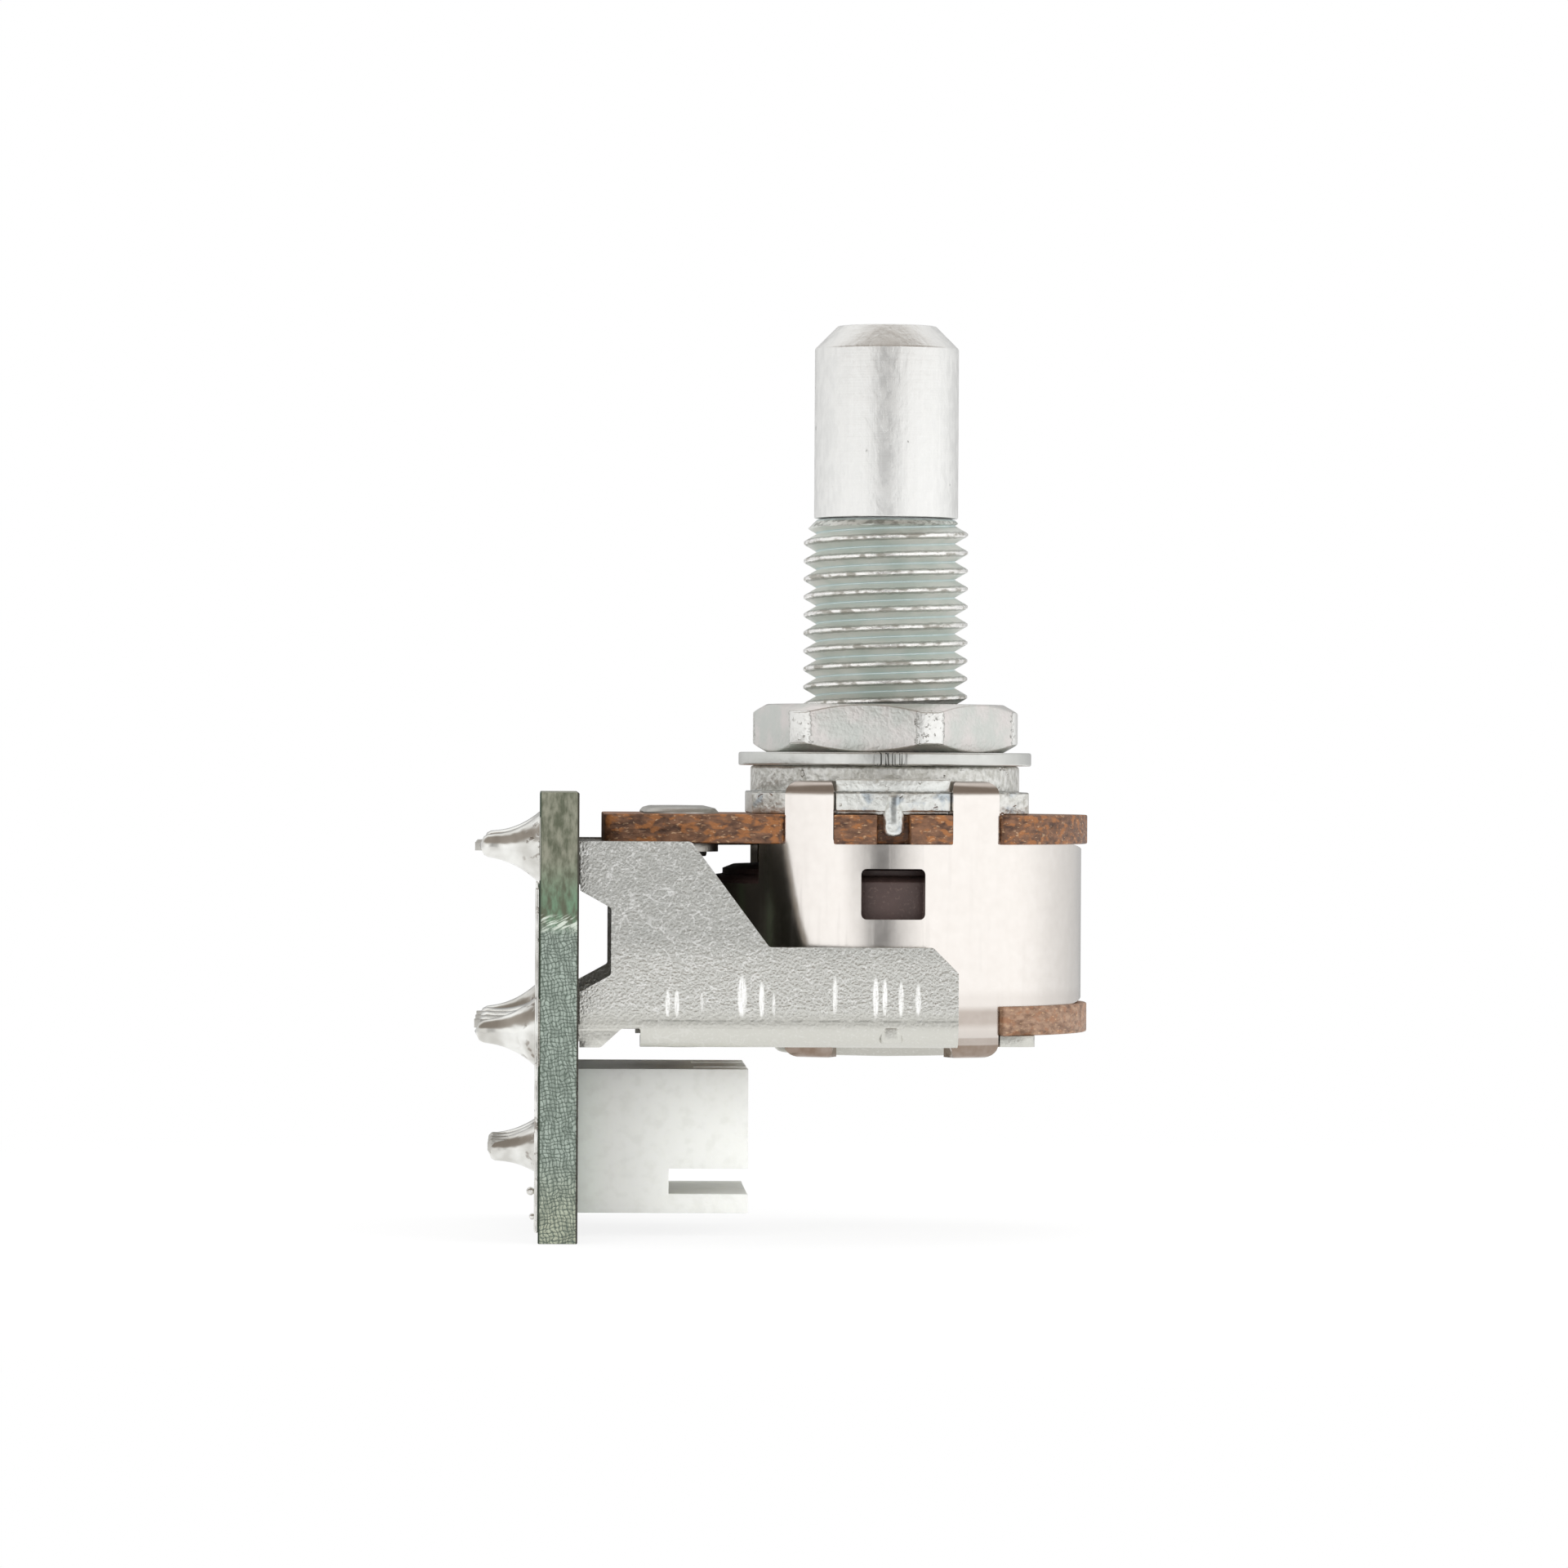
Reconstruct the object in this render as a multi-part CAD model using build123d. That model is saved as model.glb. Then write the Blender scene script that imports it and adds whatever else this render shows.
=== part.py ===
from build123d import *

import os
from math import acos, asin, cos, degrees, pi, radians, sin, sqrt

# Two-gang rotary potentiometer, clamped to a sheet-metal bracket that is soldered to a small board.
# Millimetres. The origin is the centre of the cast face that seats against a panel. +Z runs up the
# shaft, the board stands on the -X side, and -Y is the front, where an angle of 0 degrees lies.

# Shaft
shaft_d = 6.0
knob_length = 8.0
shaft_chamfer = 0.95
journal_d = 4.5
drive_side = 3.15
shoulder_gap = 0.15
bearing_clearance = 0.03

# Bushing and its thread, drawn plain: crest radius where it is free, root radius inside the nut
thread_d = 6.84
thread_depth = 0.44
bushing_height = 10.15
bushing_chamfer = 0.55

# Nut and washer
nut_across_flats = 10.0
nut_thickness = 2.0
nut_bevel = 0.44
nut_mouth_clearance = 0.1
nut_corner_angle = 19.6
washer_d = 12.2
washer_thickness = 0.55
washer_clearance = 0.18
thread_clearance = 0.03

# Die-cast base
plinth_d = 11.2
plinth_height = 1.07
flange_width = 11.5
flange_thickness = 0.93
pad_top_drop = 0.53
pad_lift = 0.13
pad_r = 8.0
pad_step = 0.3
peg_width = 0.9
peg_proud = 0.2
peg_length = 0.95
recess_r = 4.8
recess_depth = 1.1

# End stop and retaining ring
stop_plate_thickness = 0.5
stop_plate_r = 3.2
stop_tongue_angle = 22.0
stop_travel = 302.0
stop_gap = 0.3
end_play = 0.05
clip_thickness = 0.35
clip_width = 1.2
groove_depth = 0.2
clip_mouth = 2.4

# Phenolic wafers
wafer_thickness = 1.2
wafer_r = 8.45
wafer_neck_reach = 11.75
lower_neck_reach = 10.25
wafer_neck_width = 14.0
wafer_corner_r = 0.6
wafer_shaft_clearance = 0.35
bearing_flat_width = 16.1
notch_clearance = 0.1
peg_notch_width = 1.4

# Printed tracks and spring wipers
track_thickness = 0.08
resistive_r = 5.9
resistive_width = 1.3
resistive_sweep = 300.0
collector_r = 3.7
collector_width = 0.9
lead_width = 1.4
wiper_room = 0.9
wiper_thickness = 0.15
wiper_arm_width = 1.1
wiper_hub_rim = 0.25
wiper_peg_y = 4.5
finger_width = 0.5
finger_length = 1.6
contact_gap = 0.05
rotor_peg_d = 0.5

# Rotor
rotor_d = 14.8
rotor_lip_d = 12.6
rotor_lip_height = 0.18
rotor_bevel = 0.45
pivot_d = 4.0
pivot_reach = 0.2

# Terminals and the rivets that hold them
terminal_thickness = 0.35
terminal_row_reach = 8.6
terminal_pitch = 5.0
terminal_ring_d = 3.1
terminal_neck_width = 1.8
terminal_pin_width = 1.0
terminal_tip_reach = 17.0
rivet_shank_d = 1.5
rivet_head_d = 3.1
rivet_head_height = 0.3
rivet_tail_d = 2.2
rivet_tail_height = 0.2

# Shield can
shield_thickness = 0.45
shield_r = 8.2
shield_height = 6.6
mouth_edge_x = 5.42
mouth_relief = 1.65
mouth_band_angle = 23.0
window_width = 2.6
window_height = 2.06
window_drop = 0.99
window_corner = 0.25
nick_angle = 21.0
nick_depth = 0.3
tab_angle = 24.8
tab_half_angle = 7.5
tab_fold_r = 6.35
tab_gap_angle = 0.5
fold_corner = 0.6

# Bracket
sheet = 0.45
bracket_gap = 17.2
bend_inner_r = 0.5
bracket_top_drop = 3.11
shoulder_x = 8.22
brace_foot_x = 5.04
flank_top_drop = 7.37
bracket_end_x = 2.63
end_chamfer = 1.03
leg_inner_x = 11.45
board_face_x = 12.76
leg_notch_top_drop = 5.11
leg_notch_foot_drop = 9.21
leg_notch_slope = 0.7
relief_right_x = 10.25
relief_crown_x = 10.7
relief_crown_width = 0.3
relief_rise = 0.78
leg_foot_x = 11.85
tongue_reach = 5.9
tongue_width = 13.8
terminal_window_x = 6.0
terminal_window_width = 14.6
solder_tab_height = 0.8
solder_tab_reach = 16.75
upper_tab_drop = 3.5
lower_tab_drop = 10.85
dome_r = 4.85
dome_depth = 0.66
dome_crown_rise = 0.2
dome_shoulder = 0.5
rib_x = -0.1
rib_width = 1.0

# Circuit board
board_thickness = 1.6
board_edge_margin = 0.95
board_top_drop = 1.15
board_foot_margin = 3.92
board_hole_clearance = 0.15

# Shrouded header
header_depth = 7.0
header_height = 5.9
header_width = 9.9
header_gap = 1.03
header_wall = 0.75
header_floor = 1.45
header_pins_count = 3
header_pitch = 2.5
header_pin_side = 0.64
header_pin_offset = -0.35
header_pin_recess = 1.6
header_pin_reach = 16.45
end_slot_length = 3.25
end_slot_height = 1.05
end_slot_drop = 1.65
key_notch_width = 1.3
key_notch_length = 2.2
key_notch_spacing = 5.0

# Solder
solder_terminal_r = 1.15
solder_terminal_height = 1.7
solder_header_r = 1.1
solder_header_height = 1.5
solder_tab_length = 1.75
solder_tab_width = 1.1
solder_fillet_height = 2.2
solder_skin = 0.12

# Sides of small round forms, such as rivets and the holes that they fill, of solder, and of a hidden ring
small_round_sides = 12
solder_sides = 8
collector_sides = 24

# Levels and radii that follow from the sizes above
shaft_r = shaft_d / 2
journal_r = journal_d / 2
crest_r = thread_d / 2
root_r = crest_r - thread_depth
nut_bottom = washer_thickness
nut_top = nut_bottom + nut_thickness
shoulder_z = bushing_height + shoulder_gap
shaft_tip = shoulder_z + knob_length
flange_top = -plinth_height
flange_bottom = flange_top - flange_thickness
wafer_bottom = flange_bottom - wafer_thickness
lower_wafer_top = wafer_bottom - shield_height
lower_wafer_bottom = lower_wafer_top - wafer_thickness
middle_z = (wafer_bottom + lower_wafer_top) / 2
sheet_bottom = lower_wafer_bottom - sheet
recess_ceiling = flange_bottom + recess_depth
stop_plate_top = recess_ceiling - end_play
stop_plate_bottom = stop_plate_top - stop_plate_thickness
clip_bottom = stop_plate_bottom - clip_thickness
groove_r = drive_side / 2 - groove_depth
rotor_top = wafer_bottom - wiper_room
rotor_bottom = lower_wafer_top + wiper_room
rotor_r = rotor_d / 2
pivot_r = pivot_d / 2
pivot_end = lower_wafer_bottom - pivot_reach
shaft_bottom = rotor_bottom
shield_inner_r = shield_r - shield_thickness
board_back_x = board_face_x + board_thickness
board_top = -board_top_drop
header_centre = lower_wafer_bottom - sheet - header_gap - header_height / 2
board_bottom = header_centre - board_foot_margin
plate_inner_y = bracket_gap / 2
plate_outer_y = plate_inner_y + sheet
bend_y = plate_inner_y - bend_inner_r
bend_z = lower_wafer_bottom + bend_inner_r
terminal_rows = [-terminal_pitch, 0, terminal_pitch]
terminal_z = (wafer_bottom - terminal_thickness, wafer_bottom)
tab_angles = [tab_angle, -tab_angle, 180 - tab_angle, 180 + tab_angle]
header_mouth_x = board_face_x - header_depth
header_pin_z = header_centre + header_pin_offset
header_rows = [header_pitch * (i - (header_pins_count - 1) / 2) for i in range(header_pins_count)]


def block(x, y, z):
    """Box between low and high limits along each axis."""
    middle = Pos((x[0] + x[1]) / 2, (y[0] + y[1]) / 2, (z[0] + z[1]) / 2)
    return middle * Box(x[1] - x[0], y[1] - y[0], z[1] - z[0])


def disc(radius, z, at=(0, 0)):
    """Upright cylinder between two levels."""
    base = Pos(at[0], at[1], z[0])
    return base * Cylinder(radius, z[1] - z[0], align=(Align.CENTER, Align.CENTER, Align.MIN))


def prism(radius, z, at=(0, 0), sides=small_round_sides):
    """Small round form with few sides, between two levels."""
    return Pos(at[0], at[1], z[0]) * extrude(RegularPolygon(radius, sides), z[1] - z[0])


def ring(outer_r, inner_r, z):
    return disc(outer_r, z) - disc(inner_r, z)


def profile(points):
    """Closed outline in the XZ plane."""
    return Plane.XZ * make_face(Polyline(*points, close=True))


def turned(points):
    """Solid of revolution about the shaft's axis from (radius, height) points."""
    return revolve(profile(points), Axis.Z)


def swept(face, angle, half_angle):
    """Outline turned about the axis, centred on an angle counted from the front towards +X."""
    return Rot(0, 0, angle - half_angle - 90) * revolve(face, Axis.Z, 2 * half_angle)


def sector(r, z, angle, half_angle):
    """Annular block between two radii and two levels."""
    face = profile([(r[0], z[0]), (r[1], z[0]), (r[1], z[1]), (r[0], z[1])])
    return swept(face, angle, half_angle)


def front_and_back(part):
    return part + mirror(part, Plane.XZ)


def flipped(part):
    """The second gang is the first one turned over about the plane half way between the wafers."""
    return mirror(part, Plane.XY.offset(middle_z))


def lowered(part):
    """The second gang's terminals hang under its wafer, as the first gang's do."""
    return Pos(0, 0, lower_wafer_bottom - wafer_bottom) * part


def drive(z):
    """Square section of the shaft, which turns the stop plate and the rotor."""
    half = drive_side / 2
    return block((-half, half), (-half, half), z)


def shaft():
    tip_r = shaft_r - shaft_chamfer
    body = turned([
        (0, recess_ceiling), (journal_r, recess_ceiling), (journal_r, shoulder_z), (shaft_r, shoulder_z),
        (shaft_r, shaft_tip - shaft_chamfer), (tip_r, shaft_tip), (0, shaft_tip),
    ])
    z = (clip_bottom, stop_plate_bottom)
    groove = drive(z) - disc(groove_r, z)
    return body + (drive((shaft_bottom, recess_ceiling)) - groove)


def base_casting():
    """Flange, plinth and bushing, cast as one, with the pads and pegs that key it to the wafer."""
    bore_r = journal_r + bearing_clearance
    flange_z = (flange_bottom, flange_top)
    flange = disc(shield_inner_r - end_play, flange_z)
    flange = flange & block((-flange_width / 2, flange_width / 2), (-wafer_r, wafer_r), flange_z)
    plinth = disc(plinth_d / 2, (flange_top, 0))
    bushing = turned([
        (0, 0), (root_r, 0), (root_r, nut_top + end_play), (crest_r, nut_top + end_play),
        (crest_r, bushing_height - bushing_chamfer), (crest_r - bushing_chamfer, bushing_height),
        (0, bushing_height),
    ])
    body = flange + plinth + bushing + front_and_back(seating_pad())
    body -= disc(bore_r, (recess_ceiling, bushing_height))
    body -= disc(recess_r, (flange_bottom, recess_ceiling))
    return body + stop_lug()


def seating_pad():
    """Stepped pad between two shield tabs, with a peg that drops into the wafer's notch."""
    half_angle = tab_angle - tab_half_angle - tab_gap_angle
    inner = plinth_d / 2 - end_play
    low = sector((inner, pad_r), (flange_bottom + pad_lift, flange_top), 0, half_angle)
    high = sector((inner, pad_r - pad_step), (flange_top, -pad_top_drop), 0, half_angle)
    front = pad_r + peg_proud
    peg_z = (flange_bottom - peg_length, flange_top)
    peg = block((-peg_width / 2, peg_width / 2), (-front, -shield_inner_r), peg_z)
    foot = peg.edges().filter_by(Axis.Y).group_by(Axis.Z)[0]
    return low + high + chamfer(foot, peg_width * 0.3)


def stop_lug():
    """Lug in the recess that the tongue meets at both ends of its travel."""
    half_angle = (360 - stop_travel - stop_tongue_angle) / 2
    lug_r = (stop_plate_r + stop_gap, recess_r + end_play)
    return sector(lug_r, (clip_bottom, recess_ceiling), 180, half_angle)


def stop_plate():
    z = (stop_plate_bottom, stop_plate_top)
    tongue = sector((stop_plate_r - stop_gap, recess_r - stop_gap), z, 0, stop_tongue_angle / 2)
    return disc(stop_plate_r, z) + tongue - drive(z)


def retaining_ring():
    z = (clip_bottom, stop_plate_bottom)
    mouth = block((0, shaft_d), (-clip_mouth / 2, clip_mouth / 2), z)
    return prism(groove_r + clip_width, z) - disc(groove_r, z) - mouth


def hex_nut():
    corner_r = nut_across_flats / sqrt(3)
    face_r = nut_across_flats / 2
    bore_r = root_r + thread_clearance
    hexagon = RegularPolygon(corner_r, 6, rotation=nut_corner_angle - 90)
    blank = Pos(0, 0, nut_bottom) * extrude(hexagon, nut_thickness)
    bevels = turned([
        (0, nut_bottom), (face_r, nut_bottom), (corner_r, nut_bottom + nut_bevel),
        (corner_r, nut_top - nut_bevel), (face_r, nut_top), (0, nut_top),
    ])
    mouth_r = crest_r + nut_mouth_clearance
    bore = turned([
        (0, nut_bottom), (bore_r, nut_bottom), (bore_r, nut_top - (mouth_r - bore_r)),
        (mouth_r, nut_top), (0, nut_top),
    ])
    return (blank & bevels) - bore


def flat_washer():
    return ring(washer_d / 2, crest_r + washer_clearance, (0, washer_thickness))


def wafer_blank(z, reach):
    """Punched phenolic plate: round under the shield, with a neck that carries the terminals."""
    neck = block((-reach, 0), (-wafer_neck_width / 2, wafer_neck_width / 2), z)
    neck = fillet(neck.edges().filter_by(Axis.Z).group_by(Axis.X)[0], wafer_corner_r)
    plate = disc(wafer_r, z) + neck
    for angle in tab_angles:
        notch_r = (shield_inner_r - notch_clearance, wafer_r + notch_clearance)
        plate -= sector(notch_r, z, angle, tab_half_angle + tab_gap_angle)
    for y in terminal_rows:
        plate -= prism(rivet_shank_d / 2, z, (-terminal_row_reach, y))
    return plate


def upper_wafer():
    z = (wafer_bottom, flange_bottom)
    plate = wafer_blank(z, wafer_neck_reach) - prism(journal_r + wafer_shaft_clearance, z)
    half = peg_notch_width / 2
    notch = block((-half, half), (-wafer_r - notch_clearance, -shield_inner_r + notch_clearance), z)
    return plate - front_and_back(notch)


def lower_wafer():
    z = (lower_wafer_bottom, lower_wafer_top)
    half = bearing_flat_width / 2
    plate = wafer_blank(z, lower_neck_reach) - disc(pivot_r + bearing_clearance, z)
    return plate & block((-lower_neck_reach, wafer_r), (-half, half), z)


def terminal(y):
    """Stamped terminal: a ring under the rivet, a neck, and a narrow pin through the board."""
    neck_end = -board_face_x + board_hole_clearance * 4
    half_neck = terminal_neck_width / 2
    half_pin = terminal_pin_width / 2
    half_tip = half_pin / 2
    tip = -terminal_tip_reach
    outline = make_face(Polyline(
        (-terminal_row_reach, half_neck), (neck_end + half_pin, half_neck), (neck_end, half_pin),
        (tip + half_tip, half_pin), (tip, half_tip), (tip, -half_tip), (tip + half_tip, -half_pin),
        (neck_end, -half_pin), (neck_end + half_pin, -half_neck), (-terminal_row_reach, -half_neck),
        close=True,
    ))
    strip = Pos(0, y, terminal_z[0]) * extrude(outline, terminal_thickness)
    eye = prism(terminal_ring_d / 2, terminal_z, (-terminal_row_reach, y))
    return strip + eye - prism(rivet_shank_d / 2, terminal_z, (-terminal_row_reach, y))


def rivet(y):
    """Rivet with a low rounded head on the wafer and a flat tail on the terminal."""
    tail_bottom = terminal_z[0] - rivet_tail_height
    crown = flange_bottom + rivet_head_height
    head = prism(rivet_head_d / 2, (flange_bottom, crown))
    head = chamfer(head.edges().group_by(Axis.Z)[-1], rivet_head_height * 0.7)
    shank = prism(rivet_shank_d / 2, (terminal_z[0], flange_bottom))
    tail = prism(rivet_tail_d / 2, (tail_bottom, terminal_z[0]))
    return Pos(-terminal_row_reach, y, 0) * (head + shank + tail)


def terminal_eyes():
    """Room that the terminal rings take from the printed layer beside them."""
    z = (terminal_z[0], wafer_bottom)
    return [prism(terminal_ring_d / 2, z, (-terminal_row_reach, y)) for y in terminal_rows]


def resistive_track():
    """Printed carbon horseshoe with a lead from each end to an outer terminal."""
    z = (wafer_bottom - track_thickness, wafer_bottom)
    r = (resistive_r - resistive_width / 2, resistive_r + resistive_width / 2)
    track = sector(r, z, 90, resistive_sweep / 2)
    end = radians(180 - resistive_sweep / 2)
    start = (-resistive_r * cos(end), resistive_r * sin(end))
    run = (-terminal_row_reach - start[0], terminal_pitch - start[1])
    length = sqrt(run[0] ** 2 + run[1] ** 2)
    lead = Box(length, lead_width, track_thickness, align=(Align.MIN, Align.CENTER, Align.MIN))
    lead = Pos(start[0], start[1], z[0]) * Rot(0, 0, degrees(acos(run[0] / length))) * lead
    return track + front_and_back(lead) - terminal_eyes()


def collector_ring():
    """Printed conductor ring with a lead to the middle terminal."""
    z = (wafer_bottom - track_thickness, wafer_bottom)
    outer = collector_r + collector_width / 2
    lead = block((-terminal_row_reach, -collector_r), (-lead_width / 2, lead_width / 2), z)
    track = prism(outer, z, sides=collector_sides) - prism(outer - collector_width, z, sides=collector_sides)
    return track + lead - terminal_eyes()


def finger(radius, side):
    """Spring finger that leaves the wiper's arm sideways, rises, and rides on a track at one radius."""
    low = rotor_top
    high = wafer_bottom - track_thickness - contact_gap - wiper_thickness
    foot = finger_length * 0.15
    tip = finger_length * 0.85
    toe = low + (high - low) * 0.85
    strip = Plane.XZ * make_face(Polyline(
        (0, low), (foot, low), (tip, high), (finger_length, toe), (finger_length, toe + wiper_thickness),
        (tip, high + wiper_thickness), (foot, low + wiper_thickness), (0, low + wiper_thickness), close=True,
    ))
    start = wiper_arm_width / 2
    y = sqrt(radius ** 2 - (start + tip) ** 2)
    return Rot(0, 0, side) * Pos(start, finger_width / 2 - y, 0) * extrude(strip, finger_width)


def wiper():
    """Spring plate round the hub, with an arm each way that carries a finger for each track."""
    z = (rotor_top, rotor_top + wiper_thickness)
    half_arm = wiper_arm_width / 2
    hub_r = journal_r + wafer_shaft_clearance
    hub = hub_r + wiper_hub_rim
    plate = block((-hub, hub), (-hub, hub), z) + block((-half_arm, half_arm), (-resistive_r, resistive_r), z)
    plate -= prism(hub_r, z)
    for side in (0, 180):
        plate += finger(resistive_r, side) + finger(collector_r, side)
    for y in (-wiper_peg_y, wiper_peg_y):
        plate -= prism(rotor_peg_d / 2, z, (0, y))
    return plate


def rotor():
    """Moulded carrier: square bore, a raised face towards the first gang, and a pivot below."""
    lip_r = rotor_lip_d / 2
    slope = rotor_top - rotor_lip_height
    body = turned([
        (0, pivot_end), (pivot_r, pivot_end), (pivot_r, rotor_bottom), (rotor_r, rotor_bottom),
        (rotor_r, slope), (lip_r + rotor_bevel, slope), (lip_r, rotor_top), (0, rotor_top),
    ])
    for y in (-wiper_peg_y, wiper_peg_y):
        pegs = prism(rotor_peg_d / 2, (rotor_top, rotor_top + wiper_thickness * 2), (0, y))
        body += pegs + flipped(pegs)
    return body - drive((shaft_bottom, rotor_top))


def mouth_cut(half_angle, z):
    return sector((0, shield_r * 2), z, -90, half_angle)


def edge_nick(z, depth):
    """Shallow vee in one rim of the shield, opposite its mouth."""
    run = shield_r * sin(radians(nick_angle))
    vee = Plane.YZ * make_face(Polyline((-run, z), (0, z + depth), (run, z), (0, z - depth), close=True))
    return extrude(vee, shield_r * 2)


def shield_tab():
    """Tab that stands up through the wafer's notch and is folded in over the flange."""
    fold_top = flange_top + shield_thickness
    face = profile([
        (shield_inner_r, wafer_bottom - shield_thickness), (shield_r, wafer_bottom - shield_thickness),
        (shield_r, fold_top), (tab_fold_r, fold_top), (tab_fold_r, flange_top), (shield_inner_r, flange_top),
    ])
    corner = face.vertices().sort_by_distance((shield_r, 0, fold_top))[0]
    return chamfer(corner, shield_thickness * fold_corner)


def lower_shield_tab():
    """Tab that passes the lower wafer and the bracket and is folded in beneath them."""
    fold_bottom = sheet_bottom - shield_thickness
    root = lower_wafer_top + shield_thickness
    face = profile([
        (shield_inner_r, root), (shield_inner_r, sheet_bottom), (tab_fold_r, sheet_bottom),
        (tab_fold_r, fold_bottom), (shield_r, fold_bottom), (shield_r, root),
    ])
    corner = face.vertices().sort_by_distance((shield_r, 0, fold_bottom))[0]
    return chamfer(corner, shield_thickness * fold_corner)


def shield():
    """Rolled can, open towards the board, with eight tabs that clamp the stack together."""
    z = (lower_wafer_top, wafer_bottom)
    wall = ring(shield_r, shield_inner_r, z)
    wide = 90 - degrees(asin(mouth_edge_x / shield_r))
    wall -= mouth_cut(mouth_band_angle, z)
    wall -= mouth_cut(wide, (wafer_bottom - mouth_relief, wafer_bottom))
    wall -= mouth_cut(wide, (lower_wafer_top, lower_wafer_top + mouth_relief))
    window = Rectangle(window_width, window_height)
    window = Plane.XZ * chamfer(window.vertices(), window_corner)
    window_z = wafer_bottom - window_drop - window_height / 2
    wall -= Pos(0, 0, window_z) * extrude(window, shield_r * 1.5, both=True)
    wall = wall - edge_nick(wafer_bottom, nick_depth) - edge_nick(lower_wafer_top, nick_depth)
    for angle in tab_angles:
        wall += swept(shield_tab(), angle, tab_half_angle)
        wall += swept(lower_shield_tab(), angle, tab_half_angle)
    return wall


def bracket_flank():
    """Flat side plate, with its two legs and the tabs that go through the board."""
    left = -board_face_x + end_play
    notch_deep = -leg_inner_x
    half_tab = solder_tab_height / 2
    tip = -solder_tab_reach
    slope = leg_notch_slope
    relief = lower_wafer_bottom - sheet + relief_rise
    half_crown = relief_crown_width / 2
    outline = Polyline(
        (left, -upper_tab_drop + half_tab), (left, -bracket_top_drop), (-shoulder_x, -bracket_top_drop),
        (-brace_foot_x, -flank_top_drop), (bracket_end_x - end_chamfer, -flank_top_drop),
        (bracket_end_x, -flank_top_drop - end_chamfer), (bracket_end_x, bend_z), (-relief_right_x, bend_z),
        (-relief_crown_x + half_crown, relief), (-relief_crown_x - half_crown, relief),
        (-leg_foot_x, sheet_bottom), (left, sheet_bottom), (left, -lower_tab_drop - half_tab),
        (tip, -lower_tab_drop - half_tab), (tip, -lower_tab_drop + half_tab),
        (left, -lower_tab_drop + half_tab), (left, -leg_notch_foot_drop),
        (notch_deep, -leg_notch_foot_drop + slope), (notch_deep, -leg_notch_top_drop - slope),
        (left, -leg_notch_top_drop), (left, -upper_tab_drop - half_tab), (tip, -upper_tab_drop - half_tab),
        (tip, -upper_tab_drop + half_tab), close=True,
    )
    return Pos(0, -plate_inner_y, 0) * extrude(Plane.XZ * make_face(outline), sheet)


def bracket_bend():
    """Quarter bend between a flank and the bottom plate, with the small rib pressed into it."""
    outer_r = bend_inner_r + sheet
    x = (-relief_right_x, bracket_end_x)
    tube = Pos(x[0], -bend_y, bend_z) * Rot(0, 90, 0) * Cylinder(
        outer_r, x[1] - x[0], align=(Align.CENTER, Align.CENTER, Align.MIN))
    core = Pos(x[0], -bend_y, bend_z) * Rot(0, 90, 0) * Cylinder(
        bend_inner_r, x[1] - x[0], align=(Align.CENTER, Align.CENTER, Align.MIN))
    quarter = block(x, (-plate_outer_y, -bend_y), (sheet_bottom, bend_z))
    rib_span = (rib_x - rib_width / 2, rib_x + rib_width / 2)
    rib_y = (-plate_outer_y, -plate_inner_y + bend_inner_r / 4)
    rib = block(rib_span, rib_y, (sheet_bottom + sheet / 4, bend_z))
    return ((tube - core) & quarter) + (rib - core)


def pressed_pan(radius, z):
    """Shallow pan below the bracket's plate: a sloped shoulder round a slightly domed floor."""
    return turned([(0, z[0]), (radius - dome_shoulder, z[0] + dome_crown_rise), (radius, z[1]), (0, z[1])])


def bracket():
    """Bent sheet bracket: the wafer rests on its bottom plate, between two flanks."""
    z = (sheet_bottom, lower_wafer_bottom)
    plate = block((-relief_right_x, bracket_end_x), (-bend_y, bend_y), z)
    tongue = block((0, tongue_reach), (-tongue_width / 2, tongue_width / 2), z)
    plate += fillet(tongue.edges().filter_by(Axis.Z).group_by(Axis.X)[-1], wafer_corner_r)
    half = terminal_window_width / 2
    plate -= block((-relief_right_x, -terminal_window_x), (-half, half), z)
    plate += pressed_pan(dome_r, (sheet_bottom - dome_depth, sheet_bottom))
    plate -= pressed_pan(dome_r - sheet, (sheet_bottom - dome_depth + sheet, lower_wafer_bottom))
    slot_r = (shield_inner_r - notch_clearance, shield_r + notch_clearance)
    for angle in tab_angles:
        plate -= sector(slot_r, z, angle, tab_half_angle + tab_gap_angle)
    return plate + front_and_back(bracket_flank() + bracket_bend())


def circuit_board():
    """Upright board with slots for the bracket's tabs and holes for every pin."""
    half = plate_outer_y + board_edge_margin
    x = (-board_back_x, -board_face_x)
    board = block(x, (-half, half), (board_bottom, board_top))
    gap = board_hole_clearance
    for drop in (upper_tab_drop, lower_tab_drop):
        slot_z = (-drop - solder_tab_height / 2 - gap, -drop + solder_tab_height / 2 + gap)
        board -= front_and_back(block(x, (-plate_outer_y - gap, -plate_inner_y + gap), slot_z))
    upper_row = (terminal_z[0] + terminal_z[1]) / 2
    for y in terminal_rows:
        for z in (upper_row, upper_row + lower_wafer_bottom - wafer_bottom):
            board -= board_hole(y, z, terminal_pin_width / 2 + gap)
    for y in header_rows:
        board -= board_hole(y, header_pin_z, header_pin_side * 0.71 + gap / 2)
    return board


def board_hole(y, z, radius):
    return Pos(-board_back_x, y, z) * Rot(0, 90, 0) * prism(radius, (0, board_thickness), sides=solder_sides)


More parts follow.
